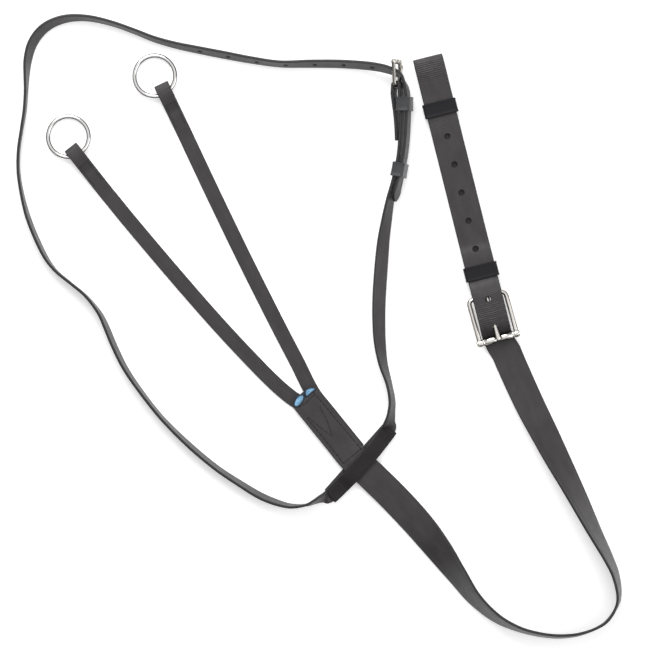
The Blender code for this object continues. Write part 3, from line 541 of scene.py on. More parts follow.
def section(width, thick, groove):
    """The outline (across, up, is_edge) of a strap, from the middle of its lower face round the left.

    Its corners are rounded, and a shallow groove runs along each edge of both faces.
    """
    a, b = width / 2, thick / 2
    corner = min(0.75, b * 0.75)
    inset = a - 2.3 if width > 20 else a - 1.7
    face = [(0.0, b), (inset * 0.55, b), (inset - 0.5, b), (inset, b - groove), (inset + 0.5, b)]
    edge = []
    for k in range(4):
        angle = math.radians(90 - 30 * k)
        edge.append((a - corner + corner * math.cos(angle), b - corner + corner * math.sin(angle)))
    quarter = [(x, y, False) for x, y in face] + [(x, y, k > 0) for k, (x, y) in enumerate(edge)]
    right_down = [(x, -y, e) for x, y, e in reversed(quarter)]
    left_down = [(-x, -y, e) for x, y, e in quarter]
    left_up = [(-x, y, e) for x, y, e in reversed(quarter)]
    ordered = left_down + left_up + quarter[1:] + right_down[:-1]
    return ordered


def strap(
    name, body, frames, width, nodes,
    thick=PLY, groove=0.0, creases=(), materials=None,
):
    """A strap lofted along its frames, with rounded edges and slightly rounded ends.

    `creases` are (place, radius, strength) where the coating shows ribs across the strap.
    """
    frames = spaced([(f[0], f[1], f[2] if len(f) > 2 else 1.0) for f in frames])
    bm = bmesh.new()
    uv = bm.loops.layers.uv.new("weave")
    ribs = bm.verts.layers.float.new("ribs")
    outline = section(width, thick, groove)
    count = len(outline)
    perimeter = [0.0]
    for one, two in zip(outline, outline[1:] + outline[:1]):
        perimeter.append(perimeter[-1] + math.dist(one[:2], two[:2]))
    rings, reach = [], []

    def add_ring(centre, side, up, wide, high, distance):
        strength = 0.0
        for place, radius, amount in creases:
            away = (centre - place).length / radius
            strength = max(strength, amount * max(0.0, 1.0 - away * away))
        ring = []
        for across, rise, _ in outline:
            vert = bm.verts.new(centre + side * across * wide + up * rise * high)
            vert[ribs] = strength
            ring.append(vert)
        rings.append(ring)
        reach.append(distance)

    last = len(frames) - 1
    travelled = 0.0
    trim = 1.0 - 1.1 / width
    for i, (centre, _, share) in enumerate(frames):
        _, tangent, side, up = axes_at(frames, i)
        if i:
            travelled += (centre - frames[i - 1][0]).length
        if i == 0:
            add_ring(centre - tangent * 0.45, side, up, share * trim, 0.55, travelled - 0.45)
            add_ring(centre - tangent * 0.25, side, up, share * (1 + trim) / 2, 0.88, travelled - 0.25)
        add_ring(centre, side, up, share, 1.0, travelled)
        if i == last:
            add_ring(centre + tangent * 0.25, side, up, share * (1 + trim) / 2, 0.88, travelled + 0.25)
            add_ring(centre + tangent * 0.45, side, up, share * trim, 0.55, travelled + 0.45)
    for i, (one, two) in enumerate(zip(rings, rings[1:])):
        for k in range(count):
            j = (k + 1) % count
            face = bm.faces.new((one[k], one[j], two[j], two[k]))
            face.material_index = 1 if outline[k][2] and outline[j][2] else 0
            places = ((reach[i], k), (reach[i], k + 1), (reach[i + 1], k + 1), (reach[i + 1], k))
            for loop, (distance, turn) in zip(face.loops, places):
                loop[uv].uv = (distance / 10, perimeter[turn] / 10)
    for ring in (rings[0], rings[-1]):
        face = bm.faces.new(ring)
        face.material_index = 1
        for loop, (across, rise, _) in zip(face.loops, outline):
            loop[uv].uv = (rise / 10, across / 10)
    return object_from(bm, name, body, materials or (WEBBING, EDGE), nodes)


def marked(bm, points, angles):
    """New vertices at these points, which know how far they are round the side of their bar."""
    # Steel materials paint their colour darker where this value is high: painted shade along the bars'
    # sides.
    side = bm.verts.layers.float.get("side") or bm.verts.layers.float.new("side")
    verts = []
    for point, angle in zip(points, angles):
        vert = bm.verts.new(point)
        vert[side] = abs(math.cos(angle))
        verts.append(vert)
    return verts


def lathe(bm, profile, steps, matrix):
    """A ring turned about the local Y axis from a closed (radius, y) profile."""
    loops = []
    for k in range(steps):
        angle = 2 * math.pi * k / steps
        around = [matrix @ Vector((r * math.cos(angle), y, r * math.sin(angle))) for r, y in profile]
        loops.append(marked(bm, around, [angle] * len(profile)))
    skin(bm, loops, closed=True)
    bmesh.ops.remove_doubles(bm, verts=bm.verts, dist=0.0005)


def tube(bm, points, sizes, flat, segments=20):
    """A bar along these points with an oval section of (half width, half height) sizes.

    `flat` is the direction of the section's height.
    """
    rings = []
    for i, (point, (wide, high)) in enumerate(zip(points, sizes)):
        tangent = (points[min(i + 1, len(points) - 1)] - points[max(i - 1, 0)]).normalized()
        across = flat.cross(tangent).normalized()
        rise = tangent.cross(across)
        angles = [2 * math.pi * k / segments for k in range(segments)]
        around = [point + across * wide * math.cos(a) + rise * high * math.sin(a) for a in angles]
        rings.append(marked(bm, around, angles))
    skin(bm, rings)


def add_punch(bm, matrix, radius, depth):
    """The shape of a punched hole, whose rims flare out a little at both faces."""
    half, flare = depth / 2, 0.45
    outer = radius + 2 * flare
    turned = matrix @ Matrix.Rotation(math.radians(90), 4, "X")
    rims = ((outer, half + flare), (radius, half - flare), (radius, flare - half), (outer, -half - flare))
    angles = [2 * math.pi * k / 24 for k in range(24)]
    rings = []
    for r, y in rims:
        around = [Vector((r * math.cos(a), y, r * math.sin(a))) for a in angles]
        rings.append([bm.verts.new(turned @ point) for point in around])
    skin(bm, rings)


def add_slot(bm, matrix, size):
    """A box with rounded ends, for a slot whose length is along local X."""
    length, wide, depth = size
    radius = wide / 2
    reach = length / 2 - radius
    outline = arc((reach, 0.0), radius, -90, 90, 8) + arc((-reach, 0.0), radius, 90, 270, 8)
    rings = []
    for z in (-depth / 2, depth / 2):
        rings.append([bm.verts.new(matrix @ Vector((x, y, z))) for x, y in outline])
    skin(bm, rings)


def along_line(line, wanted):
    """(point, heading, normal) at a distance along a line of (point, normal)."""
    for (a, up), (b, _) in zip(line, line[1:]):
        length = (b - a).length
        if wanted <= length:
            break
        wanted -= length
    return a.lerp(b, min(1.0, wanted / length)), b - a, up


def stitches(name, body, lines, nodes, pitch=STITCH_PITCH, hole=1.0):
    """Rows of stitches, half sunk, with a near-black bead at both ends of each as a needle hole's painted
    shade.

    A line is a list of (point, normal).
    """
    bm = bmesh.new()

    def add_bead(middle, heading, up, size, material_index):
        matrix = placed(middle, heading, up) @ Matrix.Diagonal((*(size / 2), 1.0))
        made = bmesh.ops.create_uvsphere(bm, u_segments=10, v_segments=6, radius=1.0, matrix=matrix)
        for face in {f for vert in made["verts"] for f in vert.link_faces}:
            face.material_index = material_index

    for line in lines:
        total = sum((b[0] - a[0]).length for a, b in zip(line, line[1:]))
        count = max(1, round(total / pitch))
        length = total / count
        thread = Vector((length * STITCH_SHARE, STITCH_WIDTH, STITCH_HEIGHT))
        for k in range(count):
            middle, heading, up = along_line(line, (k + 0.5) * length)
            add_bead(middle + up * 0.05, heading, up, thread, 0)
        for k in range(count + 1):
            middle, heading, up = along_line(line, k * length)
            # A near-black bead on the surface: painted shade standing in for the needle hole.
            add_bead(middle, heading, up, HOLE_SHADE_SIZE * hole, 1)
    return object_from(bm, name, body, (THREADS, PAINTED_HOLE_SHADE), nodes, 180.0)


def keeper(name, body, matrix, inner, material):
    """A band round the plies, with a raised hem along each of its edges. Local X runs along the strap."""
    half = KEEPER_WIDTH / 2
    wall = KEEPER_PLY
    hem = 0.22
    left = [(-half + 0.5, 0.0), (-half, 0.45), (-half, wall - 0.5), (-half + 0.45, wall)]
    left += [(-half + 1.3, wall), (-half + 1.9, wall - hem), (-half * 0.4, wall - hem)]
    across = left + [(-x, r) for x, r in reversed(left)] + [(half * 0.4, 0.0), (-half * 0.4, 0.0)]
    radius = 0.9
    corners = [Vector((a * (inner[0] / 2 - radius), b * (inner[1] / 2 - radius)))
               for a, b in ((1, 1), (-1, 1), (-1, -1), (1, -1))]
    path = []
    for turn, (middle, after) in enumerate(zip(corners, corners[1:] + corners[:1])):
        for k in range(7):
            angle = math.radians(90 * turn + 15 * k)
            outward = Vector((math.cos(angle), math.sin(angle)))
            path.append((middle + outward * radius, outward))
        target = after + outward * radius
        for k in range(1, 6):
            path.append((path[-1][0].lerp(target, 1 / (7 - k)), outward))
    bm = bmesh.new()
    uv = bm.loops.layers.uv.new("weave")
    rings = []
    for place, outward in path:
        rings.append([bm.verts.new(matrix @ Vector((x, *(place + outward * r)))) for x, r in across])
    for i, (one, two) in enumerate(zip(rings, rings[1:] + rings[:1])):
        for k in range(len(across)):
            j = (k + 1) % len(across)
            face = bm.faces.new((one[k], one[j], two[j], two[k]))
            for loop, (turn, column) in zip(face.loops, ((i, k), (i, k + 1), (i + 1, k + 1), (i + 1, k))):
                loop[uv].uv = (column / 12, turn / 12)
    return object_from(bm, f"{name}_band", body, (material, EDGE), (name,))


# ---- Fork joint ----


def on_joint(along, across, height):
    return BODY_DIR * along + BODY_SIDE * (across + BODY_OFFSET) + UP * height


INLAYS = {
    "left": (
        (-31.4, 21.8), (-30.2, 26.0), (-27.8, 29.6), (-23.1, 30.7),
        (-22.9, 26.6), (-25.8, 22.4), (-29.3, 20.1),
    ),
    "right": ((-21.7, 34.5), (-17.5, 36.6), (-13.1, 36.6), (-13.1, 35.1), (-16.6, 32.5), (-20.8, 28.4)),
}
INLAY_TOP = OVER + PLY / 2 + 0.25


def rounded(corners):
    """A closed outline with its corners worn round."""
    points = [Vector(c) for c in corners]
    for _ in range(3):
        cornered = []
        for a, b in zip(points, points[1:] + points[:1]):
            cornered += [a.lerp(b, 0.25), a.lerp(b, 0.75)]
        points = cornered
    return points


def mound(outline, middle, levels):
    """A solid from an outline at levels of (share of its size, height)."""
    bm = bmesh.new()
    rings = []
    for share, height in levels:
        rings.append([bm.verts.new((*(middle + (p - middle) * share), height)) for p in outline])
    skin(bm, rings)
    return bm


def make_inlays():
    """Blue fillings at the end of the body strap, each crowned and bound with a dark thread."""
    for name, corners in INLAYS.items():
        outline = rounded(corners)
        middle = sum(outline, Vector((0.0, 0.0))) / len(outline)
        levels = [(1.06, OVER - PLY / 2), (1.06, INLAY_TOP - 0.7), (1.0, INLAY_TOP - 0.15)]
        levels += [(0.8, INLAY_TOP + 0.1), (0.5, INLAY_TOP + 0.2), (0.2, INLAY_TOP + 0.25)]
        bm = mound(outline, middle, levels)
        nodes = (f"fork_inlay_{name}",)
        object_from(bm, f"fork_inlay_{name}_filling", "body", (BLUE,), nodes, 60.0)
        bm = bmesh.new()
        loop = [Vector((*(middle + (p - middle) * 1.08), INLAY_TOP - 0.15)) for p in outline]
        tube(bm, loop + loop[:2], [(0.75, 0.5)] * (len(loop) + 2), UP, 8)
        object_from(bm, f"fork_inlay_{name}_binding", "body", (NAVY,), (), 60.0)


def make_crotch():
    """The dark binding that closes the end of the body strap between the fork straps."""
    corners = (
        (-34.2, -12.4), (-37.4, -12.0), (-40.2, -5.5), (-40.6, 0.5),
        (-40.4, 5.0), (-38.6, 12.0), (-34.2, 12.6),
    )
    outline = rounded([on_joint(s, n, 0.0).xy for s, n in corners])
    middle = on_joint(-37.0, 0.0, 0.0).xy
    levels = ((1.0, PLY + GAP), (1.0, INLAY_TOP - 1.2), (0.96, INLAY_TOP - 0.6), (0.8, INLAY_TOP - 0.4))
    bm = mound(outline, middle, levels)
    object_from(bm, "fork_crotch_binding", "body", (NAVY,), (), 60.0)


def make_fork_stitching():
    top = OVER + PLY / 2

    def lines(*corners):
        return [(on_joint(s, n, top), UP) for s, n in corners]

    border = [lines((-34.0, 9.3), (29.6, 10.2)), lines((-20.0, -9.1), (29.6, -9.3))]
    border.append(lines((29.6, -9.3), (29.6, 10.2)))
    stitches("fork_border_stitches", "body", border, ("fork_border_stitching",))
    vee = [lines((-21.0, 5.7), (-6.0, 2.2), (6.3, -2.3)), lines((-20.0, -8.0), (-6.0, -5.2), (4.0, -3.0))]
    stitches("fork_vee_stitches", "body", vee, ("fork_vee_stitching",), hole=0.85)
    across = [lines((-32.5, -8.5), (-31.5, -3.0), (-32.0, 3.0), (-33.0, 8.0))]
    stitches("fork_crotch_stitches", "body", across, (), hole=0.85)


# ---- Fork straps and rein rings ----

LEFT_FORK = (
    (-34.4, 28.9), (-46.3, 39.0), (-63.5, 56.0), (-97.5, 92.3), (-136.0, 136.3), (-174.7, 182.1),
    (-197.4, 210.0),
)
RIGHT_FORK = (
    (-19.6, 40.6), (-27.2, 56.2), (-44.1, 88.7), (-73.2, 146.5), (-99.3, 200.4), (-120.0, 244.2),
    (-126.9, 258.9),
)
LEFT_WIRE = Vector((-220.2, 239.0, RING_WIRE_HEIGHT))
RIGHT_WIRE = Vector((-143.2, 292.8, RING_WIRE_HEIGHT))
LEFT_RING_TURN = -13.7
RIGHT_RING_TURN = 5.6


def fork_end_profile():
    """(s, z) of a fork strap's end, from s = -43 over the ring's wire, round the fold and back below."""
    middle = (RING_LOOP_TOP + LOW) / 2
    radius = (RING_LOOP_TOP - LOW) / 2
    over = [(-43.0, LOW), (-38.0, LOW + 0.35), (-30.0, LOW + 1.75), (-23.0, OVER), (-16.0, OVER + 0.15)]
    over += [(-8.5, 7.0), (-2.5, 8.8)]
    bend = arc((4.0, middle), radius, 90, -90, 6)
    under = [(-3.0, LOW), (-12.0, LOW), (-22.0, LOW)]
    return over + bend + under


def make_fork(name, sign, fork, wire, turn):
    """A fork strap from its sewn root to the fold round its ring, with the ring and the stitching."""
    across = sign * ROOT_OFFSET + ROOT_SEAM
    root = [on_joint(s, across, 0.0) for s in (ROOT_END, 0.0, -18.0, -32.0)]
    route = [tuple(p.xy) for p in root] + list(fork)
    heading = Vector((wire.x - fork[-1][0], wire.y - fork[-1][1], 0.0)).normalized()
    left = Vector((-heading.y, heading.x, 0.0))
    base = Vector((wire.x, wire.y, 0.0))
    flat = [f for f in lying(route, FORK_WIDTH, -BODY_DIR, heading) if (f[0] - base).length > 44.0]
    end = in_plane(fork_end_profile(), base, heading, left)
    tip = base + heading * 6.0 + UP * 7.0
    frames = flat + end
    nodes = (f"fork_root_{name}", f"fork_strap_{name}")
    piece = strap(f"fork_{name}_strap", None, frames, FORK_WIDTH, nodes, creases=((tip, 14.0, 0.5),))
    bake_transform(piece)
    track = Track(spaced([(f[0], f[1]) for f in frames]))
    begin = track.nearest(*(base - heading * 29.5).xy)
    finish = track.nearest(*(base - heading * 9.5).xy)
    rows = []
    for n in (-4.3, 4.3):
        spots = [begin + (finish - begin) * k / 10 for k in range(11)]
        rows.append([track.on_face(s, n, PLY / 2) for s in spots])
    rows.append([track.on_face(finish, n, PLY / 2) for n in (-4.3, 4.3)])
    stitches(f"ring_{name}_stitches", f"fork_{name}", rows, (f"ring_stitching_{name}",), hole=0.8)
    bm = bmesh.new()
    yaw = math.atan2(heading.y, heading.x) + math.radians(turn)
    swing = Matrix.Rotation(yaw, 4, "Z") @ Matrix.Rotation(RING_TILT, 4, "Y")
    middle = Matrix.Translation(wire) @ swing @ Matrix.Translation((RING_RADIUS, 0.0, 0.0))
    turns = 120
    loops = []
    for i in range(turns):
        angle = 2 * math.pi * i / turns
        out = Vector((math.cos(angle), math.sin(angle), 0.0))
        rolls = [2 * math.pi * k / 24 for k in range(24)]
        around = []
        for r in rolls:
            point = out * (RING_RADIUS + RING_WIRE * math.cos(r)) + UP * RING_WIRE * math.sin(r)
            around.append(middle @ point)
        loops.append(marked(bm, around, rolls))
    skin(bm, loops, closed=True)
    nodes = (f"rein_ring_{name}",)
    object_from(bm, f"rein_ring_{name}_steel", f"ring_{name}", (RING_STEEL,), nodes, 180.0)


# ---- Body and girth strap ----

BODY_ROUTE = (
    (38.6, -42.1, 0.0, 2.7), (50.3, -53.4, 1.0, 1.9), (64.5, -68.1, 5.0, 0.3), (79.9, -85.3, 16.0),
    (95.3, -104.8, 33.0), (109.8, -124.9, 51.0), (125.3, -146.0, 65.0), (144.2, -162.8, 74.0),
    (163.8, -172.5, 81.0), (182.4, -177.3, 83.0), (200.1, -178.9, 83.5), (217.9, -176.7, 85.0),
    (236.4, -169.0, 87.0), (245.4, -159.2, 87.0), (250.6, -146.0, 82.5), (248.0, -126.5, 77.0),
    (241.1, -110.1, 72.0), (230.2, -89.2, 64.0), (219.5, -67.7, 55.0), (208.5, -45.9, 46.0),
    (197.1, -24.2, 35.0), (186.1, -2.5, 25.0), (175.2, 18.9, 15.0), (164.9, 41.1, 7.0),
    (156.5, 60.0, 2.0, 0.2),
)


def girth_profile():
    """(s, z) of the girth strap from in front of the roller to the end of the chape."""
    low = LOOP_LIFT + LOW
    chape = low + PLY + GAP
    billet = chape + PLY + GAP + 0.1
    run = [(-52.0, 1.7), (-44.0, 1.75), (-39.0, 1.7), (-35.8, 2.4), (-32.2, 5.0), (-29.0, 8.2)]
    run += [(-25.0, 10.6), (-19.0, 11.9), (-10.0, 12.5), (0.0, 12.5), (8.0, 11.0), (15.0, billet + 0.3)]
    run += [(22.0, billet), (32.0, billet), (39.0, billet - 0.8), (47.0, chape + 0.2), (60.0, chape)]
    run += [(90.0, chape), (120.0, chape), (150.0, chape), (180.0, chape), (192.0, chape + 0.9)]
    run += [(203.0, chape + 2.6)]
    fold_middle = (low + chape + 2.8) / 2
    fold_radius = (chape + 2.8 - low) / 2
    run += arc((GIRTH_FOLD - fold_radius - LOW, fold_middle), fold_radius, 90, -90, 8)[1:]
    run += [(198.0, low), (170.0, low), (130.0, low), (90.0, low), (50.0, low), (12.0, low), (5.0, low)]
    wrap = GIRTH_BAR_RADIUS + GIRTH_WRAP_GAP + LOW
    run += arc((0.0, GIRTH_BAR.z), wrap, -90, -270, 10)
    run += [(6.0, 8.2), (11.0, chape + 0.25), (17.0, chape), (33.0, chape)]
    return run


def make_body_and_girth():
    """One strap from the fork joint round the bend, over the roller, round the girth fold and back."""
    joint = [(*on_joint(s, 0.0, 0.0)[:2], 0.0, OVER - LOW) for s in (BODY_END, -10.0, 12.0, 30.0)]
    flat = lying(joint + list(BODY_ROUTE), BODY_WIDTH, BODY_DIR)
    side = UP.cross(GIRTH_DIR)
    base = Vector((GIRTH_BAR.x, GIRTH_BAR.y, 0.0))
    loop = in_plane(girth_profile(), base, GIRTH_DIR, side)
    start = loop[0][0]
    shift = Vector((153.2, 68.0, 0.0)) - Vector((start.x, start.y, 0.0))
    eased = []
    before_roller = True
    for centre, across in loop:
        along = (centre - base).dot(GIRTH_DIR)
        before_roller = before_roller and along < -30.0
        share = min(1.0, (-along - 30.0) / 22.0) if before_roller else 0.0
        eased.append((centre + shift * share**2, across))

    def loop_at(s, z):
        return base + GIRTH_DIR * s + UP * z

    creases = (
        (loop_at(211.0, 8.0), 27.0, 1.0),
        (loop_at(153.0, 6.0), 12.0, 0.3),
        (loop_at(-16.0, 12.0), 13.0, 1.0),
        (loop_at(-37.0, 2.0), 8.0, 0.5),
        (loop_at(0.0, GIRTH_BAR.z), 9.0, 0.6),
        (on_joint(25.0, 4.0, OVER), 14.0, 0.6),
    )
    nodes = ("body_strap", "girth_strap")
    path = flat + eased
    piece = strap("body_and_girth_strap", None, path, BODY_WIDTH, nodes, creases=creases, groove=0.10)
    bm = bmesh.new()
    billet = LOOP_LIFT + LOW + PLY + GAP
    holes = [(FIRST_GIRTH_HOLE - HOLE_PITCH * k, billet, 0.0) for k in range(4)]
    for s, z, slope in holes + [(42.1, billet + 1.2, -0.2), (-3.0, 12.5, 0.0)]:
        heading = GIRTH_DIR + UP * slope
        add_punch(bm, placed(loop_at(s, z), heading, heading.cross(side)), HOLE_RADIUS, PLY)
    prong = (GIRTH_PRONG_TIP - GIRTH_PLACE.translation).normalized()
    at = GIRTH_PLACE.translation + prong * GIRTH_TONGUE_SLOT_AT + UP * 0.7
    add_slot(bm, placed(at, prong, UP), GIRTH_TONGUE_SLOT)
    cut(piece, bm)
    bm = bmesh.new()
    add_slot(bm, placed(loop_at(GIRTH_CHAPE_SLOT_AT, GIRTH_BAR.z), GIRTH_DIR, UP), GIRTH_CHAPE_SLOT)
    cut(piece, bm)
    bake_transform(piece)
    # Rows of stitching that hold the chape under the fixed keeper
    rows = []
    for s in (29.0, 33.5):
        rows.append([(loop_at(s, LOOP_LIFT) + side * n, -UP) for n in (-9.6, 9.6)])
    stitches("girth_chape_stitches", "girth_leg", rows, ("girth_chape_stitching",))


# ---- Roller buckles ----

GIRTH_PLACE = placed(
    GIRTH_BAR + UP.cross(GIRTH_DIR) * GIRTH_SHIFT,
    Matrix.Rotation(math.radians(GIRTH_TURN), 3, "Z") @ -GIRTH_DIR,
    UP,
)
GIRTH_PRONG_TIP = GIRTH_PLACE @ Vector((GIRTH_LENGTH + 1.6, 0.0, GIRTH_TONGUE_RISE))
NECK_FRONT = Vector((math.cos(NECK_LEAN), 0.04, math.sin(NECK_LEAN)))
NECK_PLACE = placed(NECK_BAR, Vector((-0.04, 1.0, 0.0)), NECK_FRONT)
NECK_PRONG_TIP = NECK_PLACE @ Vector((NECK_TONGUE_REACH, 0.0, NECK_TONGUE_RISE))

GIRTH_SIZE = {
    "inner": GIRTH_INNER, "length": GIRTH_LENGTH, "side": 2.0, "bar": GIRTH_BAR_RADIUS, "eye": 3.0,
    "eye_length": 5.4, "pin": 1.5, "roller": 3.0, "groove": 0.8, "tongue": 4.2,
    "tip": GIRTH_PRONG_TIP,
}
NECK_SIZE = {
    "inner": NECK_INNER, "length": NECK_LENGTH, "side": 1.7, "bar": NECK_BAR_RADIUS, "eye": 2.1,
    "eye_length": 3.6, "pin": 1.0, "roller": 2.1, "groove": 0.5, "tongue": 3.2, "tip": NECK_PRONG_TIP,
}


def roller_buckle(prefix, frame_body, roller_body, tongue_body, place, size):
    """Frame with its eyes, pin with its heads, grooved roller, and tongue.

    Local X runs from the fixed bar to the roller, local Y along the bars, local Z out of the front.
    """
    half, side, length = size["inner"] / 2, size["side"], size["length"]
    along = half + side + 0.2
    up = place.to_3x3() @ UP
    bend = 4.0
    path = [(length - 0.5 - k * (length - 0.5 - bend) / 14, along, side, side * 0.94) for k in range(15)]
    for k in range(1, 9):
        angle = math.radians(90 * k / 8)
        share = k / 8
        x = bend - bend * math.sin(angle)
        y = along - bend + bend * math.cos(angle)
        radius = side + (size["bar"] - side) * share
        path.append((x, y, radius, radius * (0.94 + 0.06 * share)))
    path += [(0.0, along - bend - 1.5, size["bar"], size["bar"])]
    path = path + [(x, -y, a, b) for x, y, a, b in reversed(path)]
    bm = bmesh.new()
    points = [place @ Vector((x, y, 0.0)) for x, y, _, _ in path]
    tube(bm, points, [(a, b) for _, _, a, b in path], up, 24)
    eye, eye_length, pin = size["eye"], size["eye_length"], size["pin"]
    pin_place = place @ Matrix.Translation((length, 0.0, 0.0))

    def steel(piece, body):
        node = f"{prefix}_roller_pin" if piece == "pin" else f"{prefix}_{piece}"
        object_from(bm, f"{prefix}_{piece}_steel", body, (STEEL,), (node,), 50.0)

    for sign in (-1, 1):
        inner, outer = half, half + eye_length * 0.74
        profile = [(pin + 0.1, inner), (eye - 0.5, inner), (eye - 0.12, inner + 0.18), (eye, inner + 0.6)]
        profile += [(eye, outer - 0.6), (eye - 0.12, outer - 0.18), (eye - 0.5, outer), (pin + 0.1, outer)]
        lathe(bm, [(r, sign * y) for r, y in profile], 40, pin_place)
    steel("frame", frame_body)
    # Pin: its domed heads show outside the eyes.
    bm = bmesh.new()
    head = eye * 0.74
    outer, tip = half + eye_length * 0.74 + 0.02, half + eye_length - 0.1
    rim = [(0.0, -outer), (head, -outer), (head, -outer - 0.35), (head * 0.86, -(outer + tip) / 2 - 0.2)]
    rim += [(head * 0.5, -tip + 0.1), (0.0, -tip)]
    for sign in (-1, 1):
        lathe(bm, [(max(r, 0.001), sign * y) for r, y in rim], 32, pin_place)
    lathe(bm, [(0.001, -outer), (pin, -outer), (pin, outer), (0.001, outer)], 24, pin_place)
    steel("pin", frame_body)
    # Roller with a groove for the tongue
    bm = bmesh.new()
    end, radius = half - 0.35, size["roller"]
    groove = radius - size["groove"]
    right = [(groove, 0.0), (groove, 2.0), (groove + 0.15, 2.5), (radius - 0.1, 3.1), (radius, 3.5)]
    ridge = radius - 0.22
    right += [(radius, end - 1.9), (ridge, end - 1.7), (ridge, end - 1.4), (radius, end - 1.2)]
    right += [(radius, end - 0.45), (radius - 0.12, end - 0.12), (radius - 0.45, end), (pin + GAP, end)]
    profile = [(r, -y) for r, y in reversed(right)] + right[1:]
    lathe(bm, profile, 48, pin_place)
    steel("roller", roller_body)
    # Tongue: an eye round the fixed bar, and a prong that swells towards its round tip
    bm = bmesh.new()
    bore = size["bar"] + 0.3
    wall = bore + 1.4
    edge = wall - 0.4
    around = [(bore, -2.1), (edge, -2.1), (wall, -1.6), (wall, 1.6), (edge, 2.1), (bore, 2.1)]
    lathe(bm, around, 32, place)
    tip = place.inverted() @ size["tip"]
    reach = math.hypot(tip.x, tip.z)
    swung = place @ Matrix.Rotation(-math.atan2(tip.z, tip.x), 4, "Y")
    broad = size["tongue"]
    root = wall - 1.2
    spans = [(0.0, root, 0.8, 2.2), (1.6, root, 0.84, 2.5), (wall + 1.0, root * 0.92, 0.86, 2.7)]
    spans += [(wall + 4.5, root * 0.45, 0.84, 2.7), (wall + 8.0, 0.0, 0.8, 2.6)]
    spans += [(reach * 0.62, -0.2, 0.72, 2.4), (reach - 9.0, -0.1, 0.84, 2.2)]
    spans += [(reach - 5.5, 0.0, 0.94, 2.2), (reach - 2.5, 0.0, 1.0, 2.1)]
    spans += [(reach - 1.1, 0.0, 0.86, 1.8), (reach - 0.35, 0.0, 0.6, 1.3), (reach, 0.0, 0.25, 0.7)]
    if reach < 30.0:
        spans = [(bore + 0.3, 0.0, 0.92, 2.4), (reach * 0.5, 0.0, 0.84, 2.4)] + spans[-4:]
    points = [swung @ Vector((x, 0.0, z)) for x, z, _, _ in spans]
    tube(bm, points, [(broad * wide / 2, high / 2) for _, _, wide, high in spans], up, 20)
    steel("tongue", tongue_body)


def make_girth_keepers():
    base = Vector((GIRTH_BAR.x, GIRTH_BAR.y, 0.0))
    three = 3 * PLY + 2 * GAP + 0.5
    two = 2 * PLY + GAP + 0.5
    wide = BODY_WIDTH + 0.8
    fixed = base + GIRTH_DIR * GIRTH_FIXED_KEEPER + UP * (LOOP_LIFT + three / 2 - 0.2)
    runner = base + GIRTH_DIR * GIRTH_RUNNING_KEEPER + UP * (LOOP_LIFT + two / 2 - 0.2)
    for name, body, at, high in (
        ("girth_keeper_fixed", "girth_leg", fixed, three + 0.4),
        ("girth_keeper_runner", "girth_runner", runner, two + 0.5),
    ):
        keeper(name, body, placed(at, GIRTH_DIR, UP), (wide, high), KEEPER)


# ---- Neck strap ----


def make_crossing():
    """The part of the neck strap under the body strap, and the patch that holds it."""
    left = Vector((-CROSS_DIR.y, CROSS_DIR.x, 0.0))
    middle = Vector((CROSS.x, CROSS.y, 0.0)) - left * 1.3
    half = PATCH_LENGTH / 2
    end = PLY + GAP + PATCH_PLY / 2
    top = 2 * PLY + 2 * GAP + 0.3 + PATCH_PLY / 2
    profile = [(-half, end), (-half + 14, end + 0.05), (-17.5, top - 0.6), (-12.0, top)]
    profile += [(0.0, top + 0.1), (12.0, top), (17.5, top - 0.6), (half - 14, end + 0.05), (half, end)]
    bowed = []
    for centre, side in in_plane(profile, middle, CROSS_DIR, left):
        s = (centre - middle).dot(CROSS_DIR)
        bowed.append((centre - left * 2.0 * (1 - (s / half) ** 2), side))
    strap(
        "neck_loop_patch_webbing",
        "neck_crossing",
        bowed,
        PATCH_WIDTH,
        ("neck_loop_patch",),
        thick=PATCH_PLY,
        groove=0.08,
        creases=((middle + UP * 6, 34.0, 0.2),),
        materials=(PATCHING, EDGE),
    )
    track = Track(bowed)
    for name, ends in (("lower", (1.8, 13.5)), ("upper", (track.length - 1.8, track.length - 13.5))):
        rows = []
        for n in (-4.4, 4.4):
            spots = [ends[0] + (ends[1] - ends[0]) * k / 6 for k in range(7)]
            rows.append([track.on_face(s, n, PATCH_PLY / 2) for s in spots])
        for s in ends:
            rows.append([track.on_face(s, n, PATCH_PLY / 2) for n in (-4.4, 4.4)])
        stitches(f"patch_{name}_stitches", "neck_crossing", rows, (f"patch_stitching_{name}",), pitch=2.9)


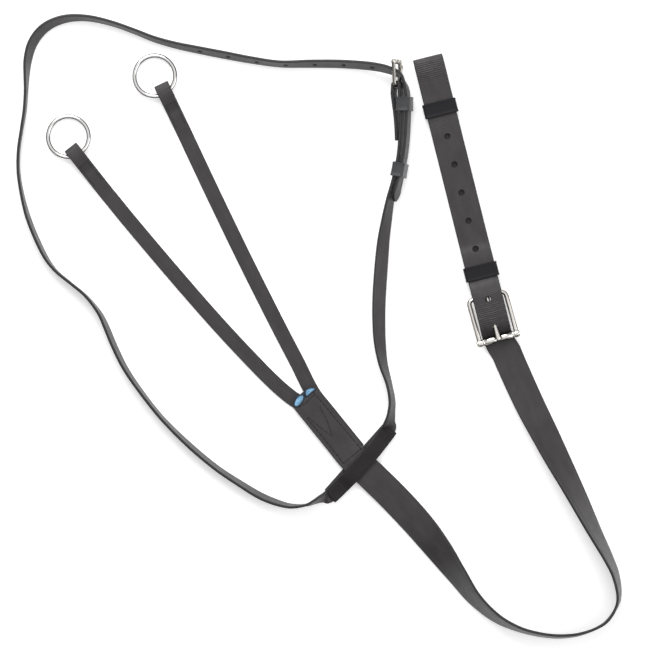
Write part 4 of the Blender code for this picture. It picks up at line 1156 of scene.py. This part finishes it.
# Routes beside the crossing start under the ends of the patch, where the strap turns up on edge.
NECK_LONG = (
    (0.4, -55.8, 0.0), (-1.6, -57.2, -14.0), (-4.2, -58.3, -48.0, 0.2), (-7.8, -59.6, -64.0, 0.1),
    (-13.2, -62.1, -77.0), (-20.2, -65.0, -87.0), (-33.7, -66.0, -99.0), (-45.3, -63.3, -106.0),
    (-60.0, -57.4, -110.0), (-77.3, -47.1, -107.5), (-98.6, -32.9, -105.0), (-122.1, -13.3, -104.0),
    (-145.0, 9.3, -100.0), (-161.6, 29.8, -100.0), (-177.5, 52.9, -103.0), (-187.6, 73.2, -105.0),
    (-194.8, 90.5, -104.0), (-200.5, 102.0, -99.0), (-212.1, 116.4, -92.0), (-225.1, 127.3, -91.0),
    (-238.0, 138.1, -93.0), (-246.7, 149.6, -99.0), (-255.3, 167.0, -101.0), (-262.6, 185.7, -100.0),
    (-267.6, 204.9, -95.0), (-270.7, 224.7, -92.0), (-270.5, 243.4, -91.0), (-268.0, 261.0, -91.5),
    (-265.3, 278.1, -93.5), (-264.1, 295.5, -95.5), (-263.7, 308.8, -103.0), (-262.6, 322.1, -114.0),
    (-258.8, 335.6, -121.0), (-251.5, 346.3, -122.5), (-242.3, 353.1, -118.0),
    (-230.5, 357.3, -113.0), (-217.5, 358.4, -107.0), (-204.6, 357.1, -103.5),
    (-187.2, 352.7, -101.5), (-169.9, 346.5, -101.5), (-152.7, 339.8, -104.0),
    (-134.9, 334.7, -107.0), (-113.0, 330.1, -110.0), (-91.3, 325.9, -111.0), (-69.4, 321.8, -108.5),
    (-43.5, 318.2, -107.0), (-17.4, 318.4, -112.5), (8.7, 318.2, -114.0, 0.3),
    (30.5, 316.7, -115.0, 1.6), (43.0, 314.9, -114.0, 3.4), (51.0, 312.8, -112.0, 4.1),
    (57.2, 310.4, -108.0, 4.3), (61.4, 307.2, -102.0, 4.6), (64.6, 302.2, -86.0, 5.0),
    (66.4, 296.6, -77.0, 5.3), (67.5, 287.0, -74.5, 5.3), (67.8, 276.0, -74.5, 5.1),
    (67.4, 264.0, -74.0, 4.7), (66.5, 250.0, -74.0, 4.3), (65.0, 238.0, -74.0, 4.1),
    (62.7, 226.0, -73.0, 4.0), (59.9, 214.0, -70.0, 3.5), (56.2, 199.0, -62.0, 2.6),
)

NECK_SHORT = (
    (50.2, 0.3, 0.0), (51.2, 2.6, 12.0), (51.3, 5.2, 40.0, 0.2), (52.1, 8.4, 54.0, 0.1),
    (53.2, 15.0, 65.0), (53.8, 25.5, 70.0), (51.2, 40.0, 71.5), (46.0, 58.0, 58.0),
    (43.2, 77.0, 42.0), (42.4, 95.7, 35.0), (42.6, 113.3, 32.0), (43.6, 130.7, 31.0),
    (44.9, 147.9, 33.0), (46.5, 165.3, 41.0, 0.3), (49.2, 183.0, 52.0, 0.9), (52.2, 200.0, 63.0, 1.8),
    (55.6, 214.0, 70.0, 2.6), (58.2, 226.0, 73.0, 2.9), (60.4, 238.0, 74.0, 3.0),
    (61.8, 252.0, 74.5, 3.2), (62.6, 266.0, 75.0, 3.6), (62.5, 278.0, 74.0, 3.9),
    (61.9, 288.0, 72.5, 4.1),
)
NECK_CHAPE = (
    (55.3, 292.5, 9.6, 73.0), (56.2, 284.0, 9.3, 74.0), (57.3, 276.0, 9.0, 75.0),
    (58.3, 264.0, 8.7, 75.5), (58.9, 252.0, 8.4, 75.0),
)


def pointed(frames, length=8.0):
    """The frames with their last stretch narrowed to a blunt, rounded point."""
    centre = frames[-1][0]
    ended = []
    for c, s in frames:
        share = min(1.0, (centre - c).length / length)
        ended.append((c, s, 0.24 + 0.76 * math.sin(share * math.pi / 2) ** 0.8))
    return ended


def make_twist(name, frames):
    twist = strap(f"neck_twist_{name}", None, frames, NECK_WIDTH, ())
    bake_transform(twist)


def make_neck():
    """The neck strap: the crossing, two pieces that twist up from it, the long run and the short run."""
    left = Vector((-CROSS_DIR.y, CROSS_DIR.x, 0.0))
    steps = int(2 * FLAT_HALF / STEP)
    flat = [(CROSS + CROSS_DIR * (2 * FLAT_HALF * k / steps - FLAT_HALF), left) for k in range(steps + 1)]
    strap("neck_crossing_strap", "neck_crossing", flat, NECK_WIDTH, ("neck_strap_crossing",))
    frames = lying(NECK_LONG, NECK_WIDTH, -CROSS_DIR)
    turn = 14
    long_run = pointed(frames)
    make_twist("long", frames[: turn + 1])
    piece = strap("neck_long_strap", "neck_loop", long_run[turn:], NECK_WIDTH, ("neck_strap",))
    bm = bmesh.new()
    track = Track(frames)
    first = track.nearest(*NECK_HOLES_FROM)
    for k in range(NECK_HOLE_COUNT):
        centre, tangent, _, up = track.at(first + HOLE_PITCH * k)
        add_punch(bm, placed(centre, tangent, up), NECK_HOLE_RADIUS, PLY)
    prong = (NECK_PRONG_TIP - NECK_BAR).normalized()
    across = NECK_PLACE.to_3x3() @ UP
    at = NECK_BAR + prong * NECK_TONGUE_SLOT_AT + across * 0.4
    add_slot(bm, placed(at, prong, across), NECK_TONGUE_SLOT)
    cut(piece, bm)
    frames = lying(NECK_SHORT, NECK_WIDTH, CROSS_DIR)
    turn = 12
    make_twist("short", frames[: turn + 1])
    wrap = NECK_BAR_RADIUS + NECK_WRAP_GAP + LOW
    along, across, rise = NECK_PLACE.to_3x3().col
    loop = [(NECK_BAR + rise * a + along * b, across) for a, b in arc((0.0, 0.0), wrap, 0, 180, 16)]
    chape = []
    for x, y, z, roll in smooth(NECK_CHAPE, STEP):
        angle = math.radians(roll)
        chape.append((Vector((x, y, z)), Vector((-math.cos(angle), 0.0, math.sin(angle)))))
    run = frames[turn:] + loop + chape
    nodes = ("neck_strap_buckle_end",)
    piece = strap("neck_short_strap", "neck_loop", run, NECK_WIDTH, nodes, creases=((NECK_BAR, 9.0, 0.8),))
    bm = bmesh.new()
    add_slot(bm, placed(NECK_BAR + along * NECK_CHAPE_SLOT_AT, along, rise), NECK_CHAPE_SLOT)
    cut(piece, bm)
    outward = Vector((-0.96, 0.0, 0.27))
    row = [(Vector((x, y, 9.4)), outward) for x, y in ((57.3, 254.0), (57.0, 262.0), (56.3, 270.0))]
    stitches("neck_chape_stitches", "neck_loop", [row], ("neck_chape_stitching",), pitch=3.0)


def make_neck_keepers():
    for name, body, at, turn, inner in (
        ("neck_keeper_fixed", "neck_loop", Vector((64.7, 283.2, 11.2)), 0.0, (14.8, 9.6)),
        ("neck_keeper_runner", "neck_runner", Vector((60.4, 226.0, 9.9)), 11.0, (14.8, 8.6)),
    ):
        heading = Vector((math.sin(math.radians(turn)), math.cos(math.radians(turn)), 0.0))
        right = Vector((heading.y, -heading.x, 0.0))
        outward = right * math.cos(KEEPER_LEAN) + UP * math.sin(KEEPER_LEAN)
        keeper(name, body, placed(at, heading, outward), inner, KEEPER_GREY)


# ---- Floor, light and camera ----


def make_floor():
    bm = bmesh.new()
    bmesh.ops.create_circle(bm, cap_ends=True, segments=96, radius=40000.0)
    n = Nodes("pale_floor")
    glow = {"Emission Color": (1.0, 1.0, 1.0, 1.0), "Emission Strength": 0.3}
    n.set_inputs(n.shader, {"Specular IOR Level": 0.2, **glow})
    cloud = n.noise(n.position(), 3.0, 2.0, 0.5)
    color = n.ramp(cloud, ((0.0, 0.90), (1.0, 0.93)))
    material = n.finish(color, n.ramp(cloud, ((0.0, 0.85), (1.0, 0.95))), n.bump(cloud, 0.02, 0.05))
    bmesh.ops.translate(bm, verts=bm.verts, vec=(0.0, 0.0, -0.05))
    floor = object_from(bm, "floor", None, (material,))


def make_world():
    """A soft studio dome, brighter overhead than round the sides."""
    world = bpy.data.worlds.new("studio")
    bpy.context.scene.world = world
    world.use_nodes = True
    tree = world.node_tree
    coordinates = tree.nodes.new("ShaderNodeTexCoord")
    axes = tree.nodes.new("ShaderNodeSeparateXYZ")
    ramp = tree.nodes.new("ShaderNodeValToRGB")
    elements = ramp.color_ramp.elements
    elements[0].position, elements[0].color = 0.0, (0.10, 0.10, 0.105, 1.0)
    elements[1].position, elements[1].color = 1.0, (1.0, 1.0, 1.0, 1.0)
    for position, grey in ((0.35, 0.12), (0.6, 0.55), (0.8, 0.95)):
        elements.new(position).color = (grey, grey, grey, 1.0)
    tree.links.new(coordinates.outputs["Generated"], axes.inputs["Vector"])
    tree.links.new(axes.outputs["Z"], ramp.inputs["Fac"])
    tree.links.new(ramp.outputs["Color"], tree.nodes["Background"].inputs["Color"])
    tree.nodes["Background"].inputs["Strength"].default_value = 1.0


def make_light(name, place, size, power):
    light = bpy.data.lights.new(name, "AREA")
    light.shape = "DISK"
    light.size = size
    light.energy = power
    obj = linked(name, light)
    obj.location = place
    obj.rotation_euler = (Vector((0.0, 0.08, 0.0)) - Vector(place)).to_track_quat("-Z", "Y").to_euler()
    obj.visible_camera = False


def make_camera():
    camera = bpy.data.cameras.new("above")
    camera.sensor_width = SENSOR
    camera.lens = SENSOR * CAMERA_HEIGHT / VIEW_WIDTH
    camera.clip_start, camera.clip_end = 0.1, 100.0
    obj = linked("above", camera)
    obj.location = (*VIEW_MIDDLE, CAMERA_HEIGHT)
    bpy.context.scene.camera = obj


make_crotch()
make_inlays()
make_fork_stitching()
make_fork("left", -1, LEFT_FORK, LEFT_WIRE, LEFT_RING_TURN)
make_fork("right", 1, RIGHT_FORK, RIGHT_WIRE, RIGHT_RING_TURN)
make_body_and_girth()
roller_buckle("girth_buckle", "girth_leg", "girth_roller", "girth_tongue", GIRTH_PLACE, GIRTH_SIZE)
make_girth_keepers()
make_crossing()
make_neck()
roller_buckle("neck_buckle", "neck_loop", "neck_roller", "neck_tongue", NECK_PLACE, NECK_SIZE)
make_neck_keepers()
make_floor()
make_world()
make_light("key", (-0.5, 1.6, 1.2), 1.5, 34.0)
make_light("fill", (1.5, -0.2, 0.9), 1.4, 12.0)
make_camera()
bpy.context.scene.view_settings.view_transform = "Standard"
